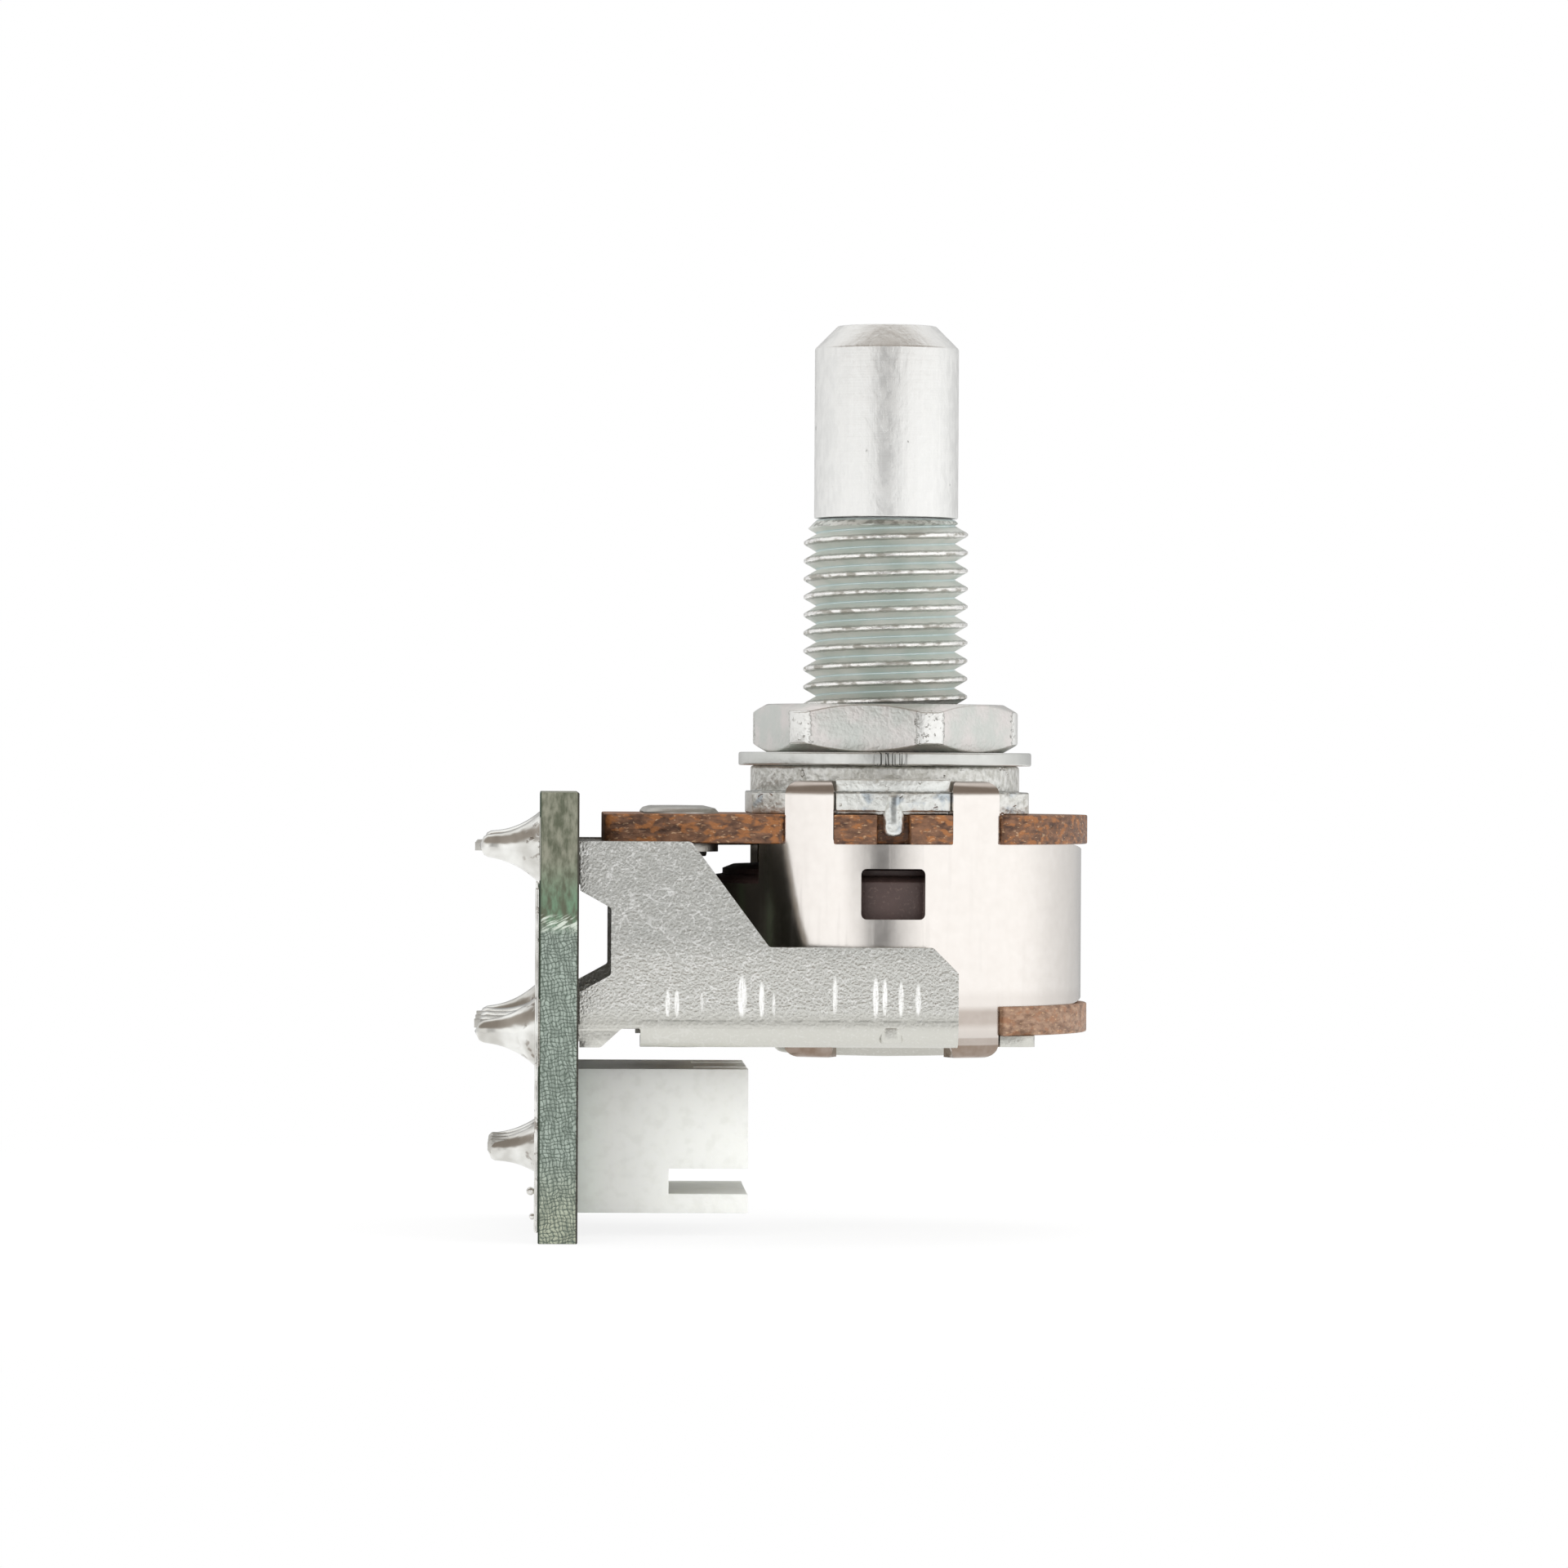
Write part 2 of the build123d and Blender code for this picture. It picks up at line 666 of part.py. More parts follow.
def header_housing():
    """Moulded shroud, open away from the board, with keying slots in three of its walls."""
    half_y = header_width / 2
    half_z = header_height / 2
    x = (-board_face_x, -header_mouth_x)
    shell = block(x, (-half_y, half_y), (header_centre - half_z, header_centre + half_z))
    floor_x = -board_face_x + header_floor
    shell -= block(
        (floor_x, x[1]), (-half_y + header_wall, half_y - header_wall),
        (header_centre - half_z + header_wall, header_centre + half_z - header_wall))
    slot_z = header_centre - end_slot_drop
    slot = block((x[1] - end_slot_length, x[1]), (-half_y, half_y),
                 (slot_z - end_slot_height / 2, slot_z + end_slot_height / 2))
    shell -= slot
    for y in (-key_notch_spacing / 2, key_notch_spacing / 2):
        shell -= block(
            (x[1] - key_notch_length, x[1]), (y - key_notch_width / 2, y + key_notch_width / 2),
            (header_centre, header_centre + half_z))
    half_pin = header_pin_side / 2
    pin_z = (header_pin_z - half_pin, header_pin_z + half_pin)
    for y in header_rows:
        shell -= block((x[0], floor_x), (y - half_pin, y + half_pin), pin_z)
    return shell


def header_pin(y):
    """Square pin with pyramid-cut ends."""
    half = header_pin_side / 2
    x = (-header_pin_reach, -header_mouth_x - header_pin_recess)
    pin = block(x, (y - half, y + half), (header_pin_z - half, header_pin_z + half))
    ends = pin.edges().filter_by(Axis.X, reverse=True)
    return chamfer(ends, half * 0.45)


def solder_stack(y, z, base, rims):
    """Faceted solder that climbs a pin. Each rim gives its height and its share of the base's half sizes."""
    turns = [2 * pi * (i + 0.5) / solder_sides for i in range(solder_sides)]
    loops = []
    for height, share in rims:
        half_z = base[0] * share
        half_y = base[1] * share
        loops.append([(-board_back_x - height, y + half_y * sin(t), z + half_z * cos(t)) for t in turns])
    faces = [make_face(Polyline(*loops[0], close=True)), make_face(Polyline(*loops[-1], close=True))]
    for low, high in zip(loops, loops[1:]):
        for i in range(solder_sides):
            j = (i + 1) % solder_sides
            faces.append(make_face(Polyline(low[i], low[j], high[j], high[i], close=True)))
    return Solid(Shell([side.face() for side in faces]))


def solder_cone(y, z, radius, height, core):
    neck = core * 1.25 / radius
    waist = neck + (1 - neck) * 0.3
    return solder_stack(y, z, (radius, radius), [(0, 1), (height * 0.25, waist), (height, neck)])


def solder_mound(y, drop):
    """Fillet of solder that climbs a bracket tab and stands a skin's depth off it at the top."""
    neck = (solder_tab_height / 2 + solder_skin) / solder_tab_length
    waist = neck + (1 - neck) * 0.3
    rims = [(0, 1), (solder_fillet_height * 0.3, waist), (solder_fillet_height, neck)]
    return solder_stack(y, -drop, (solder_tab_length, solder_tab_width), rims)


def bracket_solder():
    y = (plate_inner_y + plate_outer_y) / 2
    flank = front_and_back(bracket_flank())
    drops = (upper_tab_drop, lower_tab_drop)
    return [solder_mound(side * y, drop) - flank for side in (-1, 1) for drop in drops]


def terminal_solder():
    z = (terminal_z[0] + terminal_z[1]) / 2
    core = terminal_pin_width / 2
    cones = [solder_cone(y, z, solder_terminal_r, solder_terminal_height, core) for y in terminal_rows]
    return [cone - terminal(y) for cone, y in zip(cones, terminal_rows)]


def header_solder():
    core = header_pin_side / 2
    joints = []
    for y in header_rows:
        pin = block((-header_pin_reach, 0), (y - core, y + core), (header_pin_z - core, header_pin_z + core))
        joints.append(solder_cone(y, header_pin_z, solder_header_r, solder_header_height, core * 1.2) - pin)
    return joints


def save(name, shape):
    """Write one node: a single shape, or a list of like shapes kept as separate solids."""
    shapes = shape if isinstance(shape, list) else [shape]
    solids = [solid for each in shapes for solid in each.solids()]
    export_step(Compound(children=solids), f"parts/{name}.step")


os.makedirs("parts", exist_ok=True)

terminals = [terminal(y) for y in terminal_rows]
rivets = [rivet(y) for y in terminal_rows]
gang_solder = terminal_solder()

save("shaft", shaft())
save("bushing_base", base_casting())
save("hex_nut", hex_nut())
save("flat_washer", flat_washer())
save("stop_plate", stop_plate())
save("retaining_ring", retaining_ring())
save("upper_wafer", upper_wafer())
save("lower_wafer", lower_wafer())
save("upper_terminals", terminals)
save("lower_terminals", [lowered(part) for part in terminals])
save("upper_rivets", rivets)
save("lower_rivets", [lowered(part) for part in rivets])
save("upper_resistive_track", resistive_track())
save("lower_resistive_track", flipped(resistive_track()))
save("upper_collector_ring", collector_ring())
save("lower_collector_ring", flipped(collector_ring()))
save("upper_wiper", wiper())
save("lower_wiper", flipped(wiper()))
save("rotor", rotor())
save("shield", shield())
save("bracket", bracket())
save("circuit_board", circuit_board())
save("header_housing", header_housing())
save("header_pins", [header_pin(y) for y in header_rows])
save("bracket_solder", bracket_solder())
save("upper_terminal_solder", gang_solder)
save("lower_terminal_solder", [lowered(part) for part in gang_solder])
save("header_solder", header_solder())
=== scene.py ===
from contextlib import contextmanager
from math import asin, cos, degrees, pi, radians, sin, sqrt, tan

import bmesh
import bpy
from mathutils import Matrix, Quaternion, Vector


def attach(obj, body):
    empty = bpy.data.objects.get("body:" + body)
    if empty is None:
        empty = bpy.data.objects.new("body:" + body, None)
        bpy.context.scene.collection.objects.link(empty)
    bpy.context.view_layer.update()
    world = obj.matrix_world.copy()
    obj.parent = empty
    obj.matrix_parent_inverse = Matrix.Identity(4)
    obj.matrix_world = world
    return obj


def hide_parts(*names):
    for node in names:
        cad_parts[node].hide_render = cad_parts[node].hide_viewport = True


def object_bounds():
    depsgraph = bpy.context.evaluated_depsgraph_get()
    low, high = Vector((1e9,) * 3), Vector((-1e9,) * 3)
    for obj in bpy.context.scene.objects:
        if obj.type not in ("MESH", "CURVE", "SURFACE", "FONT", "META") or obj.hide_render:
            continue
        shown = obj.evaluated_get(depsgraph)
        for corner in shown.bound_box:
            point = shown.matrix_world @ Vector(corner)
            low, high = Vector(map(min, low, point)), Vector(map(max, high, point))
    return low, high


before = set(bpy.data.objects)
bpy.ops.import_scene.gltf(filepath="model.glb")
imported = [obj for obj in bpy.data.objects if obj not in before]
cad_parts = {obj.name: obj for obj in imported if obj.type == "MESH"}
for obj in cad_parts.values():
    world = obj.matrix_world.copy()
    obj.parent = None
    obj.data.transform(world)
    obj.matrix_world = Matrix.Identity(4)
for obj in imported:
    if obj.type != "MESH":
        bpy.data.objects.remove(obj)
cad_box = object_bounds()

# Studio. The control stands on a white table in front of a white wall, in plain soft light from both
# sides and above. The only dark thing near it is the camera side of the room, which shows in polished
# metal as a narrow dim band.

scene = bpy.context.scene
scene.view_settings.view_transform = "Standard"


def rgb(red, green, blue):
    """A colour as a screen shows it, from 0 to 255, made linear for the shaders."""
    parts = [c / 255 for c in (red, green, blue)]
    return (*(c / 12.92 if c < 0.04 else ((c + 0.055) / 1.055) ** 2.4 for c in parts), 1.0)


class Field:
    """A number, a place or a colour that changes from point to point, read from one node's socket."""

    def __init__(self, tree, socket):
        self.tree = tree
        self.socket = socket

    def node(self, kind, settings, sockets, out=0):
        made = self.tree.nodes.new(kind)
        for name, value in settings.items():
            if name == "stops":
                stops = made.color_ramp.elements
                stops[0].position, stops[0].color = value[0]
                stops[1].position, stops[1].color = value[-1]
                for place, colour in value[1:-1]:
                    stops.new(place).color = colour
            else:
                setattr(made, name, value)
        for name, value in sockets.items():
            if isinstance(value, Field):
                self.tree.links.new(value.socket, made.inputs[name])
            else:
                made.inputs[name].default_value = value
        return Field(self.tree, made.outputs[out])

    def maths(self, operation, first, second=0.0):
        return self.node("ShaderNodeMath", {"operation": operation}, {0: first, 1: second})

    def __add__(self, other):
        return self.maths("ADD", self, other)

    def __sub__(self, other):
        return self.maths("SUBTRACT", self, other)

    def __rsub__(self, other):
        return self.maths("SUBTRACT", other, self)

    def __mul__(self, other):
        return self.maths("MULTIPLY", self, other)

    def __truediv__(self, other):
        return self.maths("DIVIDE", self, other)

    __radd__ = __add__
    __rmul__ = __mul__


def rise(value, low, high):
    """From 0 at low to 1 at high, eased at both ends; low may be the larger of the two."""
    limits = {"Value": value, "From Min": low, "From Max": high}
    return value.node("ShaderNodeMapRange", {"interpolation_type": "SMOOTHSTEP"}, limits)


def between(mask, first, second):
    """The first colour where the mask is 0, the second where it is 1."""
    return mask.node("ShaderNodeMix", {"data_type": "RGBA"}, {0: mask, 6: first, 7: second}, 2)


def most(first, *others):
    for other in others:
        first = first.maths("MAXIMUM", first, other)
    return first


def length(first, second):
    """How far two distances at a right angle reach together."""
    square = first * first + second * second
    return square.maths("SQRT", square)


def axes(place):
    """The x, y and z of a place, each as a number."""
    return [place.node("ShaderNodeSeparateXYZ", {}, {0: place}, axis) for axis in range(3)]


def grey(level):
    return (level, level, level, 1.0)


room = bpy.data.worlds.new("studio")
room.use_nodes = True
scene.world = room
room_tree = room.node_tree
room_tree.nodes.clear()
look = Field(room_tree, room_tree.nodes.new("ShaderNodeTexCoord").outputs["Generated"])
look_x, look_y, look_z = axes(look)
bearing = look_x.maths("ARCTAN2", look_x, -1.0 * look_y) * (0.5 / pi) + 0.5
levels_by_bearing = {
    0.0: 0.28, 0.04: 0.45, 0.08: 0.66, 0.20: 0.74, 0.30: 0.88, 0.43: 1.0, 0.456: 0.66, 0.478: 0.20,
    0.500: 0.20, 0.526: 0.64, 0.555: 1.0, 0.73: 1.0, 0.79: 0.82, 0.87: 0.64, 0.96: 0.45, 1.0: 0.28}
band_stops = [(at, grey(level)) for at, level in levels_by_bearing.items()]
band = bearing.node("ShaderNodeValToRGB", {"stops": band_stops}, {0: bearing})
overhead = rise(look_z, 0.22, 0.46) * rise(look_y, 0.40, 0.0)
mirrored = between(overhead, between(rise(look_z, 0.4, 0.9), band, grey(0.98)), rgb(150, 142, 134))


def ray_kinds(field):
    """Whether a ray comes straight from the camera, from a glossy surface, or through a clear one."""
    path = field.node("ShaderNodeLightPath", {}, {}).socket.node
    return [Field(field.tree, path.outputs[f"Is {kind} Ray"])
            for kind in ("Camera", "Glossy", "Transmission")]


from_camera, from_gloss, through = ray_kinds(look)
seen = between(from_gloss, grey(0.93), mirrored)
seen = between(most(from_camera, through), seen, grey(1.0))
sky = seen.node("ShaderNodeBackground", {}, {"Color": seen, "Strength": 1.0 + 0.15 * from_gloss})
room_out = room_tree.nodes.new("ShaderNodeOutputWorld")
room_tree.links.new(sky.socket, room_out.inputs["Surface"])


def added(name, data):
    """A new object in the scene."""
    made = bpy.data.objects.new(name, data)
    scene.collection.objects.link(made)
    return made


def lamp(name, at, size, power):
    """A square soft lamp that faces the control."""
    light = bpy.data.lights.new(name, "AREA")
    light.size = size
    light.energy = power
    made = added(name, light)
    made.visible_glossy = False
    made.location = at
    made.rotation_euler = (Vector((-0.004, 0.0, -0.006)) - Vector(at)).to_track_quat("-Z", "Y").to_euler()


lamp("left_lamp", (-0.28, -0.34, 0.26), 0.22, 0.60)
lamp("right_lamp", (0.36, -0.26, 0.20), 0.26, 0.70)
lamp("top_lamp", (0.02, 0.10, 0.45), 0.30, 0.60)

eye = bpy.data.cameras.new("eye")
eye.lens = 170.9
eye.sensor_width = 36.0
eye.clip_start = 0.01
camera = added("eye", eye)
camera.location = (-0.01425, -0.310, -0.0001)
gaze = Vector((-0.0042, 0.0, -0.00078)) - camera.location
camera.rotation_euler = (gaze.to_track_quat("-Z", "Y") @ Quaternion((0, 0, 1), radians(0.3))).to_euler()
scene.camera = camera


def piece(name, parts, finish):
    """An object in one finish from shells, each a list of points in millimetres and its faces."""
    points, faces = [], []
    for shell_points, shell_faces in parts:
        faces += [[i + len(points) for i in face] for face in shell_faces]
        points += [Vector(p) * 0.001 for p in shell_points]
    mesh = bpy.data.meshes.new(name)
    mesh.from_pydata(points, [], faces)
    mesh.materials.append(finish)
    return added(name, mesh)


def polar(radius, angle):
    """A point at an angle that is counted from the front towards the right."""
    return radius * sin(radians(angle)), -radius * cos(radians(angle))


def finish(name, metal, rough):
    """A new material: itself, its shader, and the place in millimetres that its patterns read."""
    made = bpy.data.materials.new(name)
    made.use_nodes = True
    tree = made.node_tree
    shader = tree.nodes["Principled BSDF"]
    shader.inputs["Metallic"].default_value = metal
    shader.inputs["Roughness"].default_value = rough
    coords = Field(tree, tree.nodes.new("ShaderNodeTexCoord").outputs["Object"])
    place = coords.node("ShaderNodeVectorMath", {"operation": "SCALE"}, {0: coords, "Scale": 1000.0})
    return made, shader, place


def grain(place, size, detail=3.0, along=(1.0, 1.0, 1.0), shift=0.0):
    """Noise from 0 to 1 in grains this many millimetres across, longer where along is more than 1."""
    spread = place.node("ShaderNodeVectorMath", {"operation": "MULTIPLY_ADD"}, {
        0: place, 1: tuple(1 / (size * a) for a in along), 2: (shift, shift * 0.7, shift * 1.3)})
    return spread.node("ShaderNodeTexNoise", {}, {"Vector": spread, "Scale": 1.0, "Detail": detail})


def lay(shader, **layers):
    """Puts fields on a shader: colour, rough, metal, and height as a bump in millimetres."""
    names = {"colour": "Base Color", "rough": "Roughness", "metal": "Metallic"}
    for name, value in layers.items():
        if name == "height":
            bump = value.node("ShaderNodeBump", {}, {"Height": value, "Distance": 0.001, "Strength": 1.0})
            value.tree.links.new(bump.socket, shader.inputs["Normal"])
        else:
            value.tree.links.new(value.socket, shader.inputs[names[name]])


floor_z = cad_box[0].z * 1000
table_paint, table_shader, table_place = finish("table_paint", 0.0, 0.9)
reach = length(*axes(table_place)[:2])
lay(table_shader, colour=between(grain(table_place, 30.0), rgb(246, 246, 246), rgb(250, 250, 250)))
table_tree = table_paint.node_tree
paper = reach.node("ShaderNodeEmission", {}, {"Color": grey(1.0), "Strength": 1.0})
from_camera, from_gloss, through = ray_kinds(reach)
direct = most(from_camera, from_gloss, through)
share = direct * (0.86 + 0.14 * rise(reach, 20.0, 80.0))
mixed = reach.node("ShaderNodeMixShader", {}, {
    0: share, 1: Field(table_tree, table_shader.outputs[0]), 2: paper})
table_tree.links.new(mixed.socket, table_tree.nodes["Material Output"].inputs["Surface"])
table_r = 150.0
table = piece("table", [([(0, 0, floor_z)] + [(*polar(table_r, 5 * k), floor_z) for k in range(72)],
                         [[0, k + 1, (k + 1) % 72 + 1] for k in range(72)])], table_paint)

# Base and bushing. One zinc die casting: a flange with a stepped pad front and back, a round plinth, and
# the bushing. The as-cast faces are slightly rough; the peg below each pad drops into the wafer's notch.

plinth_r = 5.6
plinth_bottom = -1.07
flange_bottom = -2.0
flange_r = 7.70
recess_r = 4.8
recess_top = -0.9
bore_r = 2.28
bushing_top = 10.26
crest_r = 3.42
root_r = 2.90
core_r = 2.95
pitch = 0.75
nut_top = 2.55


def least(first, second):
    return first.maths("MINIMUM", first, second)


def magnitude(value):
    return value.maths("ABSOLUTE", value)


def baked(made):
    """Turns the piece into the plain mesh that its modifiers give."""
    mesh = bpy.data.meshes.new_from_object(made.evaluated_get(bpy.context.evaluated_depsgraph_get()))
    made.modifiers.clear()
    made.data = mesh
    return made


@contextmanager
def opened(made):
    """The piece's mesh, open for changes and written back at the end."""
    work = bmesh.new()
    work.from_mesh(made.data)
    yield work
    work.to_mesh(made.data)
    work.free()


def dressed(made, rim=0.0, steps=2, corner=30.0):
    """Closes the seams, rounds the edges by a small radius, and shades the piece smooth."""
    with opened(made) as work:
        bmesh.ops.remove_doubles(work, verts=work.verts, dist=1e-7)
        bmesh.ops.recalc_face_normals(work, faces=work.faces)
    made.data.shade_smooth()
    if rim:
        bevel = made.modifiers.new("rim", "BEVEL")
        bevel.width = rim * 0.001
        bevel.segments = steps
        bevel.limit_method = "ANGLE"
        bevel.angle_limit = radians(corner)
        weigh = made.modifiers.new("weigh", "WEIGHTED_NORMAL")
        weigh.keep_sharp = True
        weigh.weight = 90
        baked(made)
    else:
        made.data.set_sharp_from_angle(angle=radians(corner))
    return made


def rounded(corners, radius):
    """An outline whose corners are arcs; radius is one size, or one for each corner."""
    radii = radius if isinstance(radius, list) else [radius] * len(corners)
    outline = []
    for i, size in enumerate(radii):
        here = Vector(corners[i])
        if not size:
            outline.append(here)
            continue
        back = Vector(corners[i - 1]) - here
        ahead = Vector(corners[(i + 1) % len(corners)]) - here
        cut = min(size / tan(back.angle(ahead) / 2), back.length * 0.49, ahead.length * 0.49)
        start, end = here + back.normalized() * cut, here + ahead.normalized() * cut
        for t in (0.0, 0.25, 0.5, 0.75, 1.0):
            outline.append(start * (1 - t) ** 2 + here * 2 * t * (1 - t) + end * t ** 2)
    return [tuple(p) for p in outline]


def spun(outline, sides=96, closed=False):
    """A shell from an outline of (radius, height), turned round the shaft's axis."""
    count = len(outline)
    turns = [2 * pi * k / sides for k in range(sides)]
    points = [(r * cos(t), r * sin(t), z) for t in turns for r, z in outline]
    faces = []
    for k in range(sides):
        near, far = k * count, (k + 1) % sides * count
        for i in range(count if closed else count - 1):
            j = (i + 1) % count
            faces.append([near + i, far + i, far + j, near + j])
    return points, faces


def slab(outline, low, high):
    """A shell from an outline of (x, y), upright between two heights."""
    count = len(outline)
    points = [(x, y, low) for x, y in outline] + [(x, y, high) for x, y in outline]
    sides = [[i, (i + 1) % count, count + (i + 1) % count, count + i] for i in range(count)]
    return points, sides + [list(range(count))[::-1], [count + i for i in range(count)]]


def board_on_edge(outline, near, far):
    """A shell from an outline of (x, z), between two depths."""
    points, faces = slab(outline, near, far)
    return [(x, y, z) for x, z, y in points], faces


def arc(radius, start, end, step=3.0):
    steps = max(1, round(abs(end - start) / step))
    return [polar(radius, start + (end - start) * k / steps) for k in range(steps + 1)]


def wedge(radii, angle, half, z):
    """A shell between two radii, to half an angle on both sides of a bearing."""
    inner, outer = radii
    return slab(arc(outer, angle - half, angle + half) + arc(inner, angle + half, angle - half), *z)


cast_zinc, shader, place = finish("cast_zinc", 1.0, 0.42)
x, y, z = axes(place)
coarse, fine, pits = grain(place, 0.9), grain(place, 0.26, 4.0), grain(place, 0.5, 2.0, shift=7.0)
blue = rise(coarse, 0.52, 0.66) * rise(z, -0.9, -1.3)
skin = between(rise(fine * 0.7 + coarse * 0.3, 0.36, 0.62), rgb(204, 203, 196), rgb(244, 244, 240))
# The pads front and back are painted near white: a painted highlight on their faces.
skin = between(rise(magnitude(y), 6.2, 6.6) * 0.6, skin, rgb(250, 253, 250))
# A broken dark line is painted along the step at the plinth's foot: painted shade in that corner.
step_shade_line = rise(magnitude(z + 1.09), 0.07, 0.02) * rise(fine, 0.40, 0.55)
# A dark stripe is painted down the middle of each peg: a painted dark reflection on the rounded peg.
peg_dark_reflection = rise(magnitude(x), 0.16, 0.05) * rise(z, -2.5, -2.2) * rise(z, -1.15, -1.35)
skin = between(blue * 0.6, skin, rgb(156, 174, 190))
lay(shader, colour=between(0.6 * most(step_shade_line, peg_dark_reflection), skin, rgb(96, 98, 96)), rough=0.32 + 0.16 * fine,
    height=0.055 * fine + 0.06 * coarse - 0.05 * rise(pits, 0.66, 0.74))

flange_edge = arc(flange_r, -47.6, 47.6) + arc(flange_r, 132.4, 227.6)
flange = slab(flange_edge, flange_bottom, plinth_bottom)
sunk = plinth_bottom - 0.1
plinth = spun(rounded([
    (bore_r, recess_top), (bore_r, 0.2), (core_r + 0.2, 0.2), (core_r + 0.2, 0.0), (plinth_r, 0.0),
    (plinth_r, sunk), (recess_r, sunk), (recess_r, recess_top)], [0, 0, 0, 0, 0.16, 0, 0, 0]), closed=True)
casting = [plinth]
peg_half = [(-0.24, -1.12), (-0.26, -1.5), (-0.43, -2.0), (-0.42, -2.88)]
peg_edge = rounded(peg_half + [(-x, z) for x, z in peg_half[::-1]], [0, 0.2, 0.3, 0.38, 0.38, 0.3, 0.2, 0])
for side in (0, 180):
    casting.append(wedge((plinth_r - 0.1, 8.0), side, 17.15, (-1.87, plinth_bottom)))
    casting.append(wedge((plinth_r - 0.1, 7.8), side, 17.6, (plinth_bottom - 0.05, -0.53)))
casting.append(wedge((3.5, recess_r + 0.05), 180, 18.0, (-1.8, recess_top)))
base = piece("die_cast_base", casting, cast_zinc)
ring_flange = piece("flange", [flange], cast_zinc)


def cut(made, *shells):
    """Cuts the shells' shapes out of a piece."""
    tools = [piece("tool", [shell], made.data.materials[0]) for shell in shells]
    for tool in tools:
        step = made.modifiers.new("cut", "BOOLEAN")
        step.operation = "DIFFERENCE"
        step.object = tool
        step.solver = "EXACT"
    baked(made)
    for tool in tools:
        bpy.data.objects.remove(tool)


def united(made, *others):
    """Takes the other pieces' shells into the first, as they are."""
    with opened(made) as work:
        for other in others:
            work.from_mesh(other.data)
            bpy.data.objects.remove(other)
    return made


cut(ring_flange, slab(arc(recess_r, 0, 357), flange_bottom - 1, plinth_bottom + 1))
united(base, ring_flange)
dressed(base, 0.08, 3)
for near in (-8.2, 7.6):
    united(base, dressed(piece("peg", [board_on_edge(peg_edge, near, near + 0.6)], cast_zinc), 0.20, 4))
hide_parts("bushing_base")
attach(base, "housing")

thread_metal, shader, place = finish("thread_metal", 1.0, 0.3)
x, y, z = axes(place)
out = length(x, y)
# This grain roughens the worn crests and also breaks up the painted highlight and painted shade below.
worn = grain(place, 0.20, 4.0, (1.6, 1.6, 0.8))
# The crest is painted bright in patches: a painted highlight, over a smoother crest.
crest = rise(out + 0.16 * (worn - 0.5), 3.345, 3.385)
# A dark line is painted just inside each crest: painted shade under the highlight.
lip = rise(out + 0.16 * (worn - 0.5), 3.25, 3.30) * (1.0 - crest)
root = rise(out, 2.965, 2.92)
flank = between(rise(grain(place, 1.4), 0.3, 0.7), rgb(230, 235, 230), rgb(244, 245, 241))
broken = rise(grain(place, 0.55, 3.0, (1.0, 1.0, 0.5), 3.0), 0.36, 0.54)
# The top edge next to the shaft is painted dark in patches: painted shade between bushing and shaft.
top_ring = rise(z, 9.88, 9.98)
flank = between(most(lip * 0.38, 0.55 * top_ring * rise(worn, 0.42, 0.60)), flank, rgb(120, 120, 112))
flank = between(root * 0.8, flank, rgb(226, 238, 238))
lay(shader, colour=between(crest, flank, between(broken, rgb(196, 194, 186), rgb(252, 251, 248))),
    rough=0.50 - 0.28 * crest * broken + 0.10 * worn,
    height=0.010 * grain(place, 0.10, 4.0) + 0.04 * worn * crest)


def new_tree(name, wanted):
    """A geometry nodes tree with named inputs: itself, its sockets, and the inputs as fields."""
    tree = bpy.data.node_groups.new(name, "GeometryNodeTree")
    sockets = {key: tree.interface.new_socket(key, in_out="INPUT", socket_type="NodeSocket" + kind)
               for key, kind in wanted.items()}
    tree.interface.new_socket("Result", in_out="OUTPUT", socket_type="NodeSocketGeometry")
    given = tree.nodes.new("NodeGroupInput")
    return tree, sockets, {key: Field(tree, given.outputs[key]) for key in wanted}


def ended(form, metal):
    """Makes a tree's form real, paints it and sends it to the output."""
    real = form.node("GeometryNodeRealizeInstances", {}, {"Geometry": form})
    painted = real.node("GeometryNodeSetMaterial", {}, {"Geometry": real, "Material": metal})
    form.tree.links.new(painted.socket, form.tree.nodes.new("NodeGroupOutput").inputs[0])


